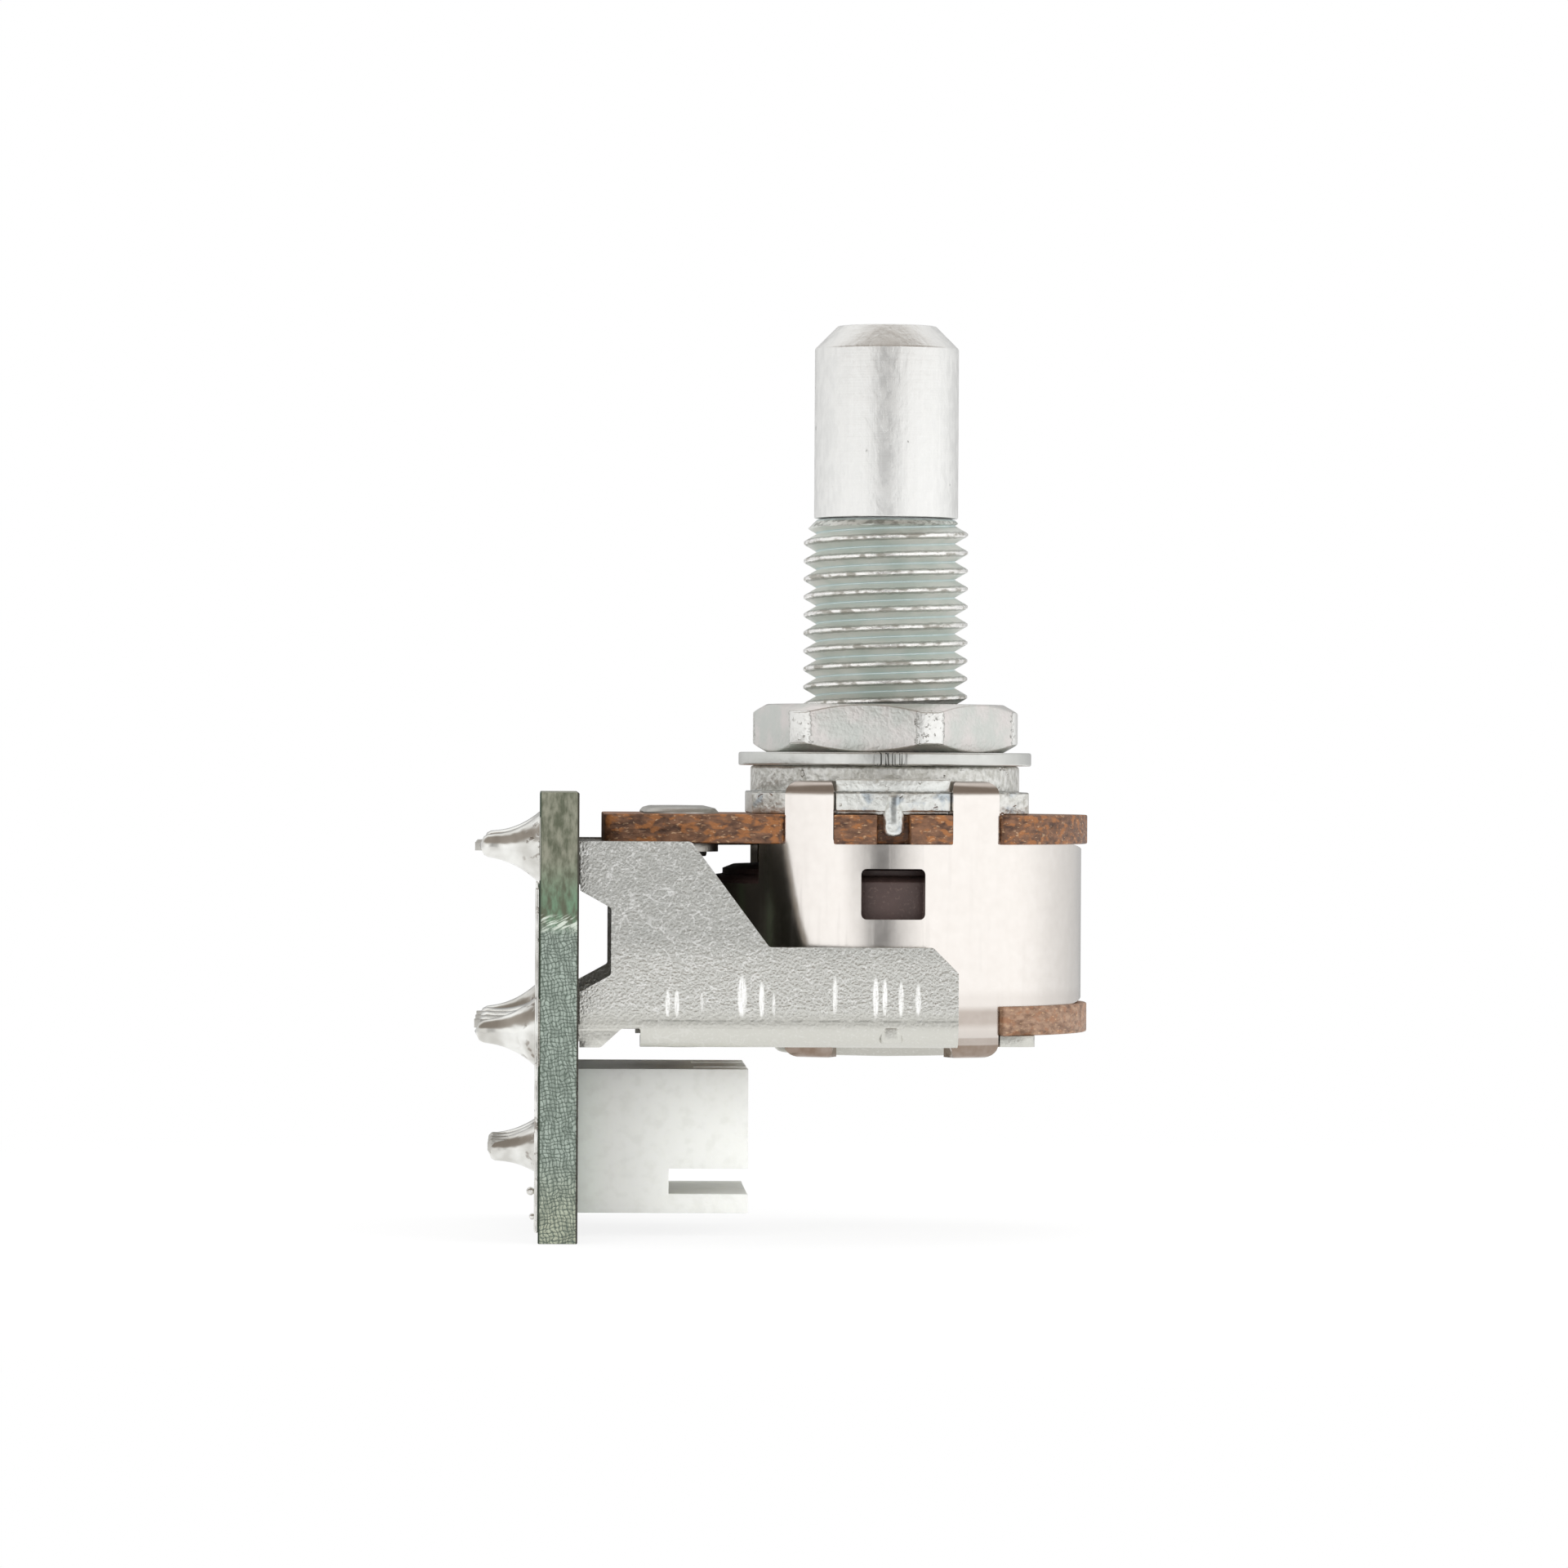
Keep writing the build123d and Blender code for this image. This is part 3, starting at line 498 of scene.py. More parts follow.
def helix_tree():
    """Geometry nodes that wind one ridge of a screw thread: a grid bent round the axis as it climbs."""
    tree, sockets, size = new_tree("screw_thread", {
        "Geometry": "Geometry", "Turns": "Float", "Pitch": "Float", "Root": "Float", "Crest": "Float",
        "Start": "Float", "Top": "Float", "Top Radius": "Float", "Finish": "Material"})
    grid = size["Turns"].node("GeometryNodeMeshGrid", {}, {
        "Size X": 1.0, "Size Y": 1.0, "Vertices X": 17, "Vertices Y": 1153})
    where = Field(tree, tree.nodes.new("GeometryNodeInputPosition").outputs[0])
    across, along, _ = axes(where)
    across, along = across + 0.5, along + 0.5
    turn = along * size["Turns"]
    climb = size["Start"] + size["Pitch"] * (turn + across)
    depth = (1.0 - magnitude(2.0 * across - 1.0) - 0.05) / 0.80
    radius = size["Root"] + (size["Crest"] - size["Root"]) * most(least(depth, 1.0), -0.15)
    radius = least(radius, size["Top Radius"] + size["Top"] - climb - 0.004)
    radius = most(least(radius, climb + 0.93), size["Root"] - 0.08)
    climb = least(climb, size["Top"] - 0.02)
    angle = turn * (2 * pi)
    spot = radius.node("ShaderNodeCombineXYZ", {}, {
        0: radius * angle.maths("COSINE", angle), 1: radius * angle.maths("SINE", angle), 2: climb})
    spot = spot.node("ShaderNodeVectorMath", {"operation": "SCALE"}, {0: spot, "Scale": 0.001})
    wound = grid.node("GeometryNodeSetPosition", {}, {"Geometry": grid, "Position": spot})
    merged = wound.node("GeometryNodeMergeByDistance", {}, {"Geometry": wound, "Distance": 1e-7})
    ended(merged.node("GeometryNodeSetShadeSmooth", {}, {"Geometry": merged, "Shade Smooth": True}),
          size["Finish"])
    return tree, sockets


def grown(made, tree, sockets, sizes):
    """Runs a geometry nodes tree on a piece, with its named inputs, and keeps the plain mesh."""
    grow = made.modifiers.new(tree.name, "NODES")
    grow.node_group = tree
    for name, value in sizes.items():
        grow[sockets[name].identifier] = value
    return baked(made)


tube_r = core_r - 0.07
core = spun(rounded([
    (bore_r, 0.1), (tube_r, 0.1), (tube_r, bushing_top - 0.10), (2.84, bushing_top - 0.04),
    (2.78, bushing_top), (bore_r + 0.06, bushing_top), (bore_r, bushing_top - 0.06)],
    [0, 0, 0.02, 0.02, 0.02, 0, 0]), closed=True)
bushing_core = dressed(piece("bushing_core", [core], thread_metal), corner=40.0)
ridge = piece("bushing", [([(0, 0, 0)], [])], thread_metal)
grown(ridge, *helix_tree(), {
    "Turns": 11.0, "Pitch": pitch, "Root": root_r, "Crest": crest_r, "Start": 1.77, "Top": bushing_top,
    "Top Radius": 2.86, "Finish": thread_metal})
ridge.data.set_sharp_from_angle(angle=radians(40.0))
bushing = united(ridge, bushing_core)
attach(bushing, "housing")

# Nut and washer. Zinc-plated steel, turned and chamfered on both faces: the nut is run down by hand on
# the bare base, so the washer lies on the cast plinth. The corners are worn bright by the spanner.

nut_half = 5.0
nut_face_r = nut_half * 0.985
nut_bottom = 0.55
nut_corner = 17.4
worn_corner_r = 5.56
mouth_r = 3.52
nut_bore = 3.01
chamfer_slope = 0.44 / 0.774

nut_zinc, shader, place = finish("nut_zinc", 1.0, 0.28)
x, y, z = axes(place)
out = length(x, y)
cloud, specks = rise(grain(place, 1.3, 4.0), 0.34, 0.66), grain(place, 0.16, 3.0, shift=3.0)
tint = between(cloud, rgb(216, 219, 214), rgb(231, 226, 223))
worn = rise(out + 0.20 * (specks - 0.5), 5.44, 5.50)
# A dark line is painted along the edge of each worn corner: painted shade.
rim = worn * (1.0 - worn) * 2.4
lay(shader, colour=between(rim, between(worn, tint, rgb(246, 246, 243)), rgb(140, 140, 134)),
    rough=0.26 + 0.20 * specks,
    height=0.022 * specks + 0.012 * grain(place, 0.5) - 0.05 * rise(specks, 0.62, 0.70) * worn)

nut_points, nut_faces = [], []
nut_sides = 240
for k in range(nut_sides):
    angle = 360 / nut_sides * k + nut_corner
    reach = min(worn_corner_r, nut_half / cos(radians((360 / nut_sides * k) % 60 - 30)))
    fall = max(0.0, reach - nut_face_r) * chamfer_slope
    for r, z in ((nut_bore, nut_bottom), (nut_bore, nut_top - 0.51), (mouth_r, nut_top),
                 (nut_face_r, nut_top), (reach, nut_top - fall), (reach, nut_bottom + fall),
                 (nut_face_r, nut_bottom)):
        nut_points.append((*polar(r, angle), z))
for k in range(nut_sides):
    near, far = 7 * k, 7 * ((k + 1) % nut_sides)
    nut_faces += [[near + i, far + i, far + (i + 1) % 7, near + (i + 1) % 7] for i in range(7)]
nut = dressed(piece("nut", [(nut_points, nut_faces)], nut_zinc), 0.07, 3, 24.0)
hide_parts("hex_nut")
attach(nut, "housing")

washer_zinc, shader, place = finish("washer_zinc", 1.0, 0.26)
x, y, z = axes(place)
marks = rise(grain(place, 0.055, 1.0, (1.0, 1.0, 30.0)), 0.50, 0.60) * rise(y, -5.9, -6.0)
marks = marks * rise(magnitude(x + 0.1), 0.85, 0.45)
plating = between(grain(place, 0.8), rgb(206, 208, 204), rgb(232, 232, 228))
lay(shader, colour=between(marks, plating, rgb(96, 96, 92)),
    rough=0.22 + 0.2 * grain(place, 0.3, 4.0), height=0.008 * grain(place, 0.15, 4.0) - 0.03 * marks)
washer = dressed(piece("washer", [spun(rounded(
    [(3.6, 0.0), (6.1, 0.0), (6.1, 0.55), (3.6, 0.55)], 0.09), 144, True)], washer_zinc), corner=40.0)
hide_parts("flat_washer")
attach(washer, "housing")

# Shaft. A plain round shaft turned from light metal, with a wide chamfer at its end. Below the bushing
# it is a square that drives both gangs.

satin, shader, place = finish("satin_metal", 1.0, 0.26)
rings = grain(place, 0.05, 3.0, (60.0, 60.0, 1.0))
strokes = grain(place, 0.16, 3.0, (1.0, 1.0, 30.0), 5.0)
soil = rise(grain(place, 0.42, 1.0, (1.0, 1.0, 1.4), 2.0), 0.76, 0.80)
milky = rise(grain(place, 0.30, 5.0, (1.0, 1.0, 2.0), 8.0), 0.36, 0.64)
colour = between(strokes * 0.5 + milky * 0.5, rgb(237, 237, 235), rgb(253, 253, 251))
lay(shader, colour=between(soil, colour, rgb(176, 176, 172)),
    rough=0.33 + 0.08 * rings + 0.08 * milky,
    height=0.004 * rings + 0.008 * strokes + 0.006 * milky)


def box(x, y, z):
    return slab([(x[0], y[0]), (x[1], y[0]), (x[1], y[1]), (x[0], y[1])], *z)


shaft_shell = spun(rounded([
    (0, 18.3), (2.05, 18.3), (3.0, 17.35), (3.0, 10.3), (2.25, 10.3), (2.25, -0.9), (0, -0.9)],
    [0, 0.14, 0.14, 0.05, 0, 0, 0]), 128)
drive = box((-1.575, 1.575), (-1.575, 1.575), (-8.9, -0.9))
shaft = dressed(piece("turned_shaft", [shaft_shell, drive], satin), corner=40.0)
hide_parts("shaft")
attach(shaft, "rotor_shaft")

# End stop and retaining ring. Pressed steel rings on the shaft inside the base: the tongue of the stop
# meets the cast lug at both ends of the turn.

pressed_steel, shader, place = finish("pressed_steel", 1.0, 0.35)
lay(shader, colour=between(grain(place, 0.5), rgb(150, 150, 147), rgb(186, 186, 182)),
    rough=0.3 + 0.2 * grain(place, 0.2), height=0.01 * grain(place, 0.12, 4.0))


def painted(word, material):
    """Gives the solids whose names hold this word their finish; they are shown as they are."""
    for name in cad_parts:
        if word in name:
            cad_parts[name].material_slots[0].material = material


painted("stop_plate", pressed_steel)
painted("retaining_ring", pressed_steel)

# Shield. A can of polished nickel-plated sheet, rolled round both gangs and open towards the board. Its
# eight tabs go through the wafers' notches and are folded over the flange above and the bracket below.

can_r = 8.2
can_mid = 7.975
sheet = 0.45
can_low, can_high = -9.8, -3.2
band_low, band_high = -8.15, -4.85
window = (-6.25, -4.19)
window_mid = sum(window) / 2
window_half = degrees(asin(1.3 / can_r))
window_round = 0.22
mouth_edge = -degrees(asin(5.42 / can_r))
tab_angles = (24.8, -24.8, 155.2, 204.8)
tab_half = 7.5
fold_mid = 0.45
fold_turn = fold_mid * pi / 2
top_fold, low_fold = -1.295, -11.225
tab_reach = 1.175

nickel, shader, place = finish("nickel", 1.0, 0.12)
x, y, z = axes(place)
waves, haze = grain(place, 3.0, 1.0, (1.0, 1.0, 2.5)), grain(place, 0.5, 5.0)
smears = rise(grain(place, 0.25, 3.0, (1.0, 1.0, 14.0)), 0.52, 0.72)
# Painted shade, brown-grey: on the tabs' folds, in a band near the can's foot, and on the tabs under the
# bracket.
fold_shade = 0.55 * most(rise(z, -1.16, -1.02), rise(z, -10.95, -11.12))
low = 0.12 * rise(z, -9.0, -9.5) + 0.42 * rise(z, -9.7, -10.05) - 0.26 * rise(z, -10.4, -10.75)
can_shade = most(fold_shade, low, 0.85 * rise(z, -11.25, -11.4)) * (0.75 + 0.5 * haze)
lay(shader, colour=between(can_shade, between(haze, rgb(232, 226, 220), rgb(246, 241, 236)), rgb(130, 108, 90)),
    rough=0.10 + 0.10 * haze + 0.08 * smears,
    height=0.10 * waves + 0.0025 * haze)


def sheet_path(p):
    """The radius and height of the sheet's middle at a distance up the can and over a tab's fold."""
    centre_r = can_mid - fold_mid
    for start, sign in ((top_fold, 1), (low_fold, -1)):
        past = (p - start) * sign
        if past <= 0:
            continue
        if past <= fold_turn:
            t = past / fold_mid
            return centre_r + fold_mid * cos(t), start + sign * fold_mid * sin(t), t / (pi / 2)
        return centre_r - (past - fold_turn), start + sign * fold_mid, 1.0
    return can_mid, p, 0.0


def span(start, end, step):
    count = max(1, round((end - start) / step))
    return [start + (end - start) * k / count for k in range(count)]


round_angle = degrees(window_round / can_r)
stops = [-67.0, mouth_edge, 69.0, 90.0, 111.0, 180 - mouth_edge, 247.0]
for centre in (0, 180):
    for edge in (-window_half, window_half):
        stops += [centre + edge, centre + edge * (1 - round_angle / window_half)]
for tab in tab_angles:
    stops += [tab + side * edge for side in (-1, 1) for edge in (tab_half, tab_half + round_angle)]
stops.sort()
bearings = [a for start, end in zip(stops, stops[1:]) for a in span(start, end, 2.5)] + [stops[-1]]
low_end, high_end = low_fold - fold_turn - tab_reach, top_fold + fold_turn + tab_reach
bends = (low_fold - fold_turn, top_fold)
stops = sorted([low_end, bends[0], bends[0] + fold_turn, can_low - window_round, can_low, band_low, window[0],
                window[0] + window_round, window[1] - window_round, window[1], band_high, can_high,
                can_high + window_round, bends[1], bends[1] + fold_turn, high_end])
levels = []
for start, end in zip(stops, stops[1:]):
    levels += span(start, end, fold_turn / 8 if start in bends else 0.6)
levels.append(high_end)


def sheet_kept(angle, p):
    """Whether the blank has metal at this bearing and distance."""
    if p < can_low or p > can_high:
        return any(abs(angle - tab) < tab_half for tab in tab_angles)
    if angle < mouth_edge or angle > 180 - mouth_edge:
        return band_low < p < band_high
    centre = 0 if angle < 90 else 180
    return not (abs(angle - centre) < window_half and window[0] < p < window[1])


def sheet_point(angle, p):
    r, z, bent = sheet_path(p)
    for tab in tab_angles:
        if abs(angle - tab) <= tab_half + 0.01 and bent > 0:
            drop = 0.675 * (1 - sin(bent * pi / 2))
            narrow = 0.42 - sqrt(max(0.0, 0.42 ** 2 - max(0.0, 0.42 - drop) ** 2))
            angle = tab + (angle - tab) * (1 - narrow / 1.07)
    nick = max(0.0, 0.3 * (1 - abs(can_r * sin(radians(angle - 90))) / 2.94)) if 60 < angle < 120 else 0.0
    if abs(p - can_high) < 1e-6:
        z -= nick
    if abs(p - can_low) < 1e-6:
        z += nick
    return (*polar(r, angle), z)


def fillet(ring, apex):
    """The part of a cell outside a quarter round that is centred on the corner opposite the apex."""
    hub, start, end = (Vector(can_points[ring[(apex + k) % 4]]) for k in (2, 1, 3))
    first = len(can_points)
    for k in range(1, 5):
        t = pi / 2 * k / 5
        can_points.append(tuple(hub + (start - hub) * cos(t) + (end - hub) * sin(t)))
    return [ring[apex], ring[(apex + 1) % 4]] + list(range(first, first + 4)) + [ring[(apex + 3) % 4]]


def walled(made):
    """Gives a surface the thickness of the sheet, half of it to each side."""
    wall = made.modifiers.new("wall", "SOLIDIFY")
    wall.thickness = sheet * 0.001
    wall.offset = 0.0
    wall.use_even_offset = True
    return baked(made)


rows = len(levels)
can_points = [sheet_point(a, p) for a in bearings for p in levels]
can_faces = []
for i in range(len(bearings) - 1):
    for j in range(rows - 1):
        angle, p = (bearings[i] + bearings[i + 1]) / 2, (levels[j] + levels[j + 1]) / 2
        ring = [i * rows + j, (i + 1) * rows + j, (i + 1) * rows + j + 1, i * rows + j + 1]
        if sheet_kept(angle, p):
            can_faces.append(ring)
            continue
        centre = 0 if angle < 90 else 180
        right, high = None, None
        if window[0] < p < window[1] and abs(angle - centre) < window_half:
            if abs(angle - centre) > window_half - round_angle:
                right = angle > centre
            if abs(p - window_mid) > window[1] - window_mid - window_round:
                high = p > window_mid
        elif can_high < p < can_high + window_round or can_low - window_round < p < can_low:
            high = p < can_low
            for tab in tab_angles:
                if tab_half < abs(angle - tab) < tab_half + round_angle:
                    right = angle < tab
        if right is not None and high is not None:
            apex = (2 if high else 1) if right else (3 if high else 0)
            can_faces.append(fillet(ring, apex))
can = piece("shield_can", [(can_points, can_faces)], nickel)
with opened(can) as work:
    bmesh.ops.delete(work, geom=[v for v in work.verts if not v.link_faces], context="VERTS")
    bmesh.ops.recalc_face_normals(work, faces=work.faces)
dressed(walled(can), corner=50.0)
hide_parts("shield")
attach(can, "housing")

# Wafers. Two plates of paper phenolic, punched, which carry the tracks on their inner faces and the
# terminals at their necks. The punched edges show the brown layers of paper.

upper_neck, lower_neck = -11.75, -9.85
neck_half = 7.0
wafer_r = 8.45
notch_r = 7.65
rivet_x = -8.6
terminal_pitch = 5.0
terminal_rows = (-terminal_pitch, 0.0, terminal_pitch)


def phenolic(name, dark, light, patch):
    """Paper and resin in thin layers, with tufts of fibre and resin-rich patches."""
    made, shader, place = finish(name, 0.0, 0.5)
    layers = grain(place, 0.20, 3.0, (4.0, 4.0, 1.0))
    fibre = grain(place, 0.26, 6.0, (1.4, 1.4, 0.8), 4.0)
    patches = rise(grain(place, 0.36, 3.0, (1.3, 1.3, 0.7), 9.0), 0.50, 0.64)
    tufts = rise(grain(place, 0.10, 2.0, (2.2, 2.2, 0.8), 6.0), 0.60, 0.72)
    colour = between(rise(fibre * 0.6 + layers * 0.4, 0.30, 0.68), dark, light)
    colour = between(patches * 0.75, colour, patch)
    lay(shader, colour=between(tufts * 0.45, colour, rgb(212, 178, 140)),
        rough=0.36 + 0.25 * fibre, height=0.06 * fibre + 0.03 * layers)
    return made


def wafer_outline(notched, flat):
    """The plate's edge: the round part with its notches, then the neck towards the board."""
    start = -degrees(asin(sqrt(1 - (neck_half / wafer_r) ** 2)))
    gaps = [(tab - tab_half - 0.5, tab + tab_half + 0.5) for tab in tab_angles]
    if notched:
        gaps += [(centre - 4.75, centre + 4.75) for centre in (0, 180)]
    gaps.sort()
    edge, here = [], start
    for low, high in gaps:
        edge += arc(wafer_r, here, low) + arc(notch_r, low, high)
        here = high
    edge += arc(wafer_r, here, 180 - start)
    edge = [(x, max(-flat, min(flat, y))) for x, y in edge]
    neck = upper_neck if notched else lower_neck
    return edge + rounded([(-6.0, neck_half), (neck, neck_half), (neck, -neck_half), (-6.0, -neck_half)],
                          [0, 0.6, 0.6, 0])


def circle(across, up, radius):
    """A ring of points, for a drilled hole."""
    turns = [pi / 8 * k for k in range(16)]
    return [(across + radius * cos(t), up + radius * sin(t)) for t in turns]


brown_phenolic = phenolic("brown_phenolic", rgb(64, 40, 26), rgb(128, 90, 64), rgb(158, 100, 50))
tan_phenolic = phenolic("tan_phenolic", rgb(104, 74, 54), rgb(168, 136, 112), rgb(148, 104, 74))
for name, node, material, low, high, notched, flat, hole in (
        ("upper_gang_wafer", "upper_wafer", brown_phenolic, -3.2, -2.0, True, 9.0, 2.6),
        ("lower_gang_wafer", "lower_wafer", tan_phenolic, -11.0, -9.8, False, 8.05, 2.03)):
    plate = piece(name, [slab(wafer_outline(notched, flat), low, high)], material)
    holes = [arc(hole, 0, 350, 10.0)] + [circle(rivet_x, y, 0.74) for y in terminal_rows]
    cut(plate, *(slab(edge, low - 1, high + 1) for edge in holes))
    dressed(plate, 0.06, 2, 40.0)
    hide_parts(node)
    "phenolic" if node == "upper_wafer" else "phenolic_light"
    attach(plate, "housing")

# Tracks and wipers. Printed carbon and conductor rings on the wafers, and spring sheet fingers that turn
# with the shaft and rub on them.

carbon, shader, place = finish("carbon_print", 0.0, 0.55)
lay(shader, colour=between(grain(place, 0.2, 5.0), rgb(22, 22, 23), rgb(58, 57, 56)),
    rough=0.4 + 0.3 * grain(place, 0.4), height=0.01 * grain(place, 0.08))
conductor, shader, place = finish("conductor_print", 1.0, 0.45)
lay(shader, colour=between(grain(place, 0.3, 5.0), rgb(150, 150, 148), rgb(196, 195, 190)),
    rough=0.35 + 0.25 * grain(place, 0.2), height=0.01 * grain(place, 0.06))
spring, shader, place = finish("spring_sheet", 1.0, 0.3)
lay(shader, colour=between(grain(place, 0.6), rgb(196, 164, 96), rgb(222, 190, 120)),
    rough=0.22 + 0.2 * grain(place, 0.12, 3.0, (8.0, 1.0, 1.0)), height=0.006 * grain(place, 0.1))
painted("resistive_track", carbon)
painted("collector_ring", conductor)
painted("wiper", spring)

# Terminals and rivets. Three tinned strips under each wafer, held by rivets whose low round heads are on
# top. They run through the board, the lower ones after a small step up behind their wafer.

tinned, shader, place = finish("tinned", 1.0, 0.34)
dull, spots = grain(place, 0.5, 4.0), grain(place, 0.12, 3.0, shift=2.0)
lay(shader, colour=between(dull, rgb(168, 166, 160), rgb(214, 212, 206)), rough=0.26 + 0.24 * spots,
    height=0.012 * spots + 0.015 * dull)


def row_tree():
    """Geometry nodes that set copies of one small form in a row across the part."""
    tree, sockets, size = new_tree("row", {
        "Form": "Geometry", "Count": "Int", "Pitch": "Float", "At": "Vector", "Finish": "Material"})
    count, spacing = size["Count"], size["Pitch"]
    start = spacing.node("ShaderNodeCombineXYZ", {}, {1: (count - 1.0) * spacing * -0.5})
    offset = spacing.node("ShaderNodeCombineXYZ", {}, {1: spacing})
    line = spacing.node("GeometryNodeMeshLine", {"mode": "OFFSET"}, {
        "Count": count, "Start Location": start, "Offset": offset})
    placed = line.node("GeometryNodeInstanceOnPoints", {}, {"Points": line, "Instance": size["Form"]})
    ended(placed.node("GeometryNodeTransform", {}, {"Geometry": placed, "Translation": size["At"]}),
          size["Finish"])
    return tree, sockets


row = row_tree()


def in_row(made, at, count, spacing):
    """Repeats a form along the row's line, spacing millimetres apart, and keeps the plain mesh."""
    grown(made, *row, {"Count": count, "Pitch": spacing * 0.001, "At": [c * 0.001 for c in at],
                       "Finish": made.data.materials[0]})


def sliced(work, normal, at):
    """Divides the faces of an open mesh along a plane, this many millimetres up its normal."""
    bmesh.ops.bisect_plane(work, geom=work.verts[:] + work.edges[:] + work.faces[:],
                           plane_co=[c * at * 0.001 for c in normal], plane_no=normal)


eye_ring = [(rivet_x + 1.55 * cos(radians(a)), 1.55 * sin(radians(a))) for a in range(-145, 150, 10)]
tip = [(-12.86, 0.9), (-13.36, 0.5), (-16.75, 0.5), (-17.0, 0.25)]
strip = eye_ring + tip + [(x, -y) for x, y in tip[::-1]]
step_start, step_end, step_rise = -9.88, -10.12, 0.55
for name, level, lift in (("upper_terminal_row", -3.55, 0.0), ("lower_terminal_row", -11.35, step_rise)):
    made = piece(name, [slab(strip, 0.0, 0.35)], tinned)
    with opened(made) as work:
        for k in range(7):
            sliced(work, (1, 0, 0), step_start + (step_end - step_start) * k / 6)
        for v in work.verts:
            share = max(0.0, min(1.0, (step_start - v.co.x * 1000) / (step_start - step_end)))
            v.co.z += lift * 0.001 * (3 - 2 * share) * share ** 2
    dressed(made, 0.05, 2, 40.0)
    in_row(made, (0, 0, level), 3, terminal_pitch)
    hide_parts(name.replace("_row", "s"))
    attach(made, "housing")

for name, wafer_face in (("upper_rivet_row", -2.0), ("lower_rivet_row", -9.8)):
    form = spun(rounded([
        (0, 0.30), (1.15, 0.29), (1.42, 0.22), (1.55, 0.08), (1.55, 0.0), (0.75, 0.0), (0.75, -1.55),
        (1.1, -1.56), (1.05, -1.74), (0, -1.75)], [0, 0.3, 0.15, 0.1, 0, 0, 0, 0.05, 0.05, 0]), 40)
    made = dressed(piece(name, [form], tinned), corner=45.0)
    in_row(made, (rivet_x, 0, wafer_face), 3, terminal_pitch)
    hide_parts(name.replace("_row", "s"))
    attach(made, "housing")

# Rotor. A dark moulded carrier that turns with the shaft between the wafers: its face towards the upper
# gang is raised, and its pivot runs in the lower wafer.

bakelite, shader, place = finish("dark_moulding", 0.0, 0.42)
dust = rise(grain(place, 0.12, 5.0), 0.55, 0.75)
dark = between(grain(place, 1.2), rgb(64, 50, 48), rgb(92, 74, 70))
lay(shader, colour=between(dust * 0.3, dark, rgb(140, 120, 110)),
    rough=0.34 + 0.25 * grain(place, 0.4), height=0.02 * grain(place, 0.15, 4.0))
rotor_form = spun(rounded([
    (0, -11.2), (2.0, -11.2), (2.0, -8.9), (7.4, -8.9), (7.4, -4.75), (7.1, -4.55), (6.75, -4.5),
    (6.75, -4.28), (6.3, -4.1), (1.8, -4.1)], [0, 0.1, 0, 0.12, 0.08, 0, 0.05, 0, 0.1, 0]), 128)
rotor = dressed(piece("gang_rotor", [rotor_form], bakelite), corner=40.0)


def moved(shell, at):
    """The shell set down somewhere else."""
    return [[c + d for c, d in zip(point, at)] for point in shell[0]], shell[1]


stud = spun([(0, -8.7), (0.25, -8.7), (0.25, -3.82), (0.20, -3.78), (0, -3.78)], 24)
for y in (-4.5, 4.5):
    united(rotor, dressed(piece("peg", [moved(stud, (0, y, 0))], bakelite)))
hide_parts("rotor")
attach(rotor, "rotor_shaft")

# Bracket. One piece of plated sheet steel, cut and bent into a channel: two flanks with legs and tabs
# for the board, a bottom plate with a pressed pan, and tool marks along the bends.

flank_mid = 8.825
bend_mid = 0.725
bend_z = -10.5
bend_y = 8.1
plate_z = (-11.45, -11.0)
unrolled = bend_mid * pi / 2

sheet_zinc, shader, place = finish("satin_sheet", 1.0, 0.4)
x, y, z = axes(place)
orange_peel, cloudy = grain(place, 0.11, 2.0), grain(place, 2.2, 3.0)
specks = rise(grain(place, 0.11, 3.0, shift=11.0), 0.54, 0.68)
curls = rise(magnitude(grain(place, 0.6, 1.0, shift=5.0) - 0.5), 0.034, 0.008)
curls = curls * rise(grain(place, 0.7, shift=8.0), 0.40, 0.58)
scratches = rise(magnitude(grain(place, 1.5, 0.0, shift=15.0) - 0.5), 0.010, 0.002)
scratches = scratches * rise(grain(place, 1.1, shift=18.0), 0.48, 0.60)
curls = most(curls, scratches) * rise(x, -3.0, -6.5)
# Across the bend the sheet is smoother and less flecked, and it is also painted lighter there: a painted
# highlight.
clear = rise(z, -9.7, -10.4)
marks = 0.0 * x
for at_x, top, foot, half, strength in (
        (-9.15, -9.05, -10.27, 0.11, 0.9), (-8.78, -9.05, -10.27, 0.11, 1.0), (-7.77, -9.2, -10.0, 0.07, 0.6),
        (-6.14, -8.45, -10.3, 0.21, 1.0), (-5.35, -8.7, -10.3, 0.12, 1.0), (-4.86, -9.2, -10.2, 0.07, 0.8),
        (-2.38, -8.5, -10.2, 0.11, 0.9), (-0.73, -8.5, -10.3, 0.13, 1.0), (-0.36, -8.6, -10.2, 0.11, 1.0),
        (0.30, -8.7, -10.25, 0.12, 0.9), (0.99, -8.8, -10.2, 0.12, 0.9)):
    across = (x - at_x) / half
    down = (z - (top + foot) / 2) / ((top - foot) / 2)
    marks = most(marks, strength * rise(across * across + down * down, 1.1, 0.4))
marks = marks * (0.55 + 0.45 * rise(grain(place, 0.05, 2.0, (1.0, 1.0, 12.0)), 0.36, 0.56))
light = most(marks, most(0.55 * specks, 0.6 * curls) * (1.0 - 0.7 * clear))
plate = between(cloudy, rgb(190, 191, 187), rgb(208, 208, 203))
# The flank is painted lighter towards the bend (painted highlight), and the bottom plate's underside and the
# pan darker (painted shade).
plate = between(rise(z, -6.8, -8.4) * 0.8, plate, rgb(219, 219, 214))
plate = between(clear * 0.8, plate, rgb(214, 213, 205))
plate = between(rise(z, -11.4, -11.6) * 0.7, plate, rgb(182, 180, 172))
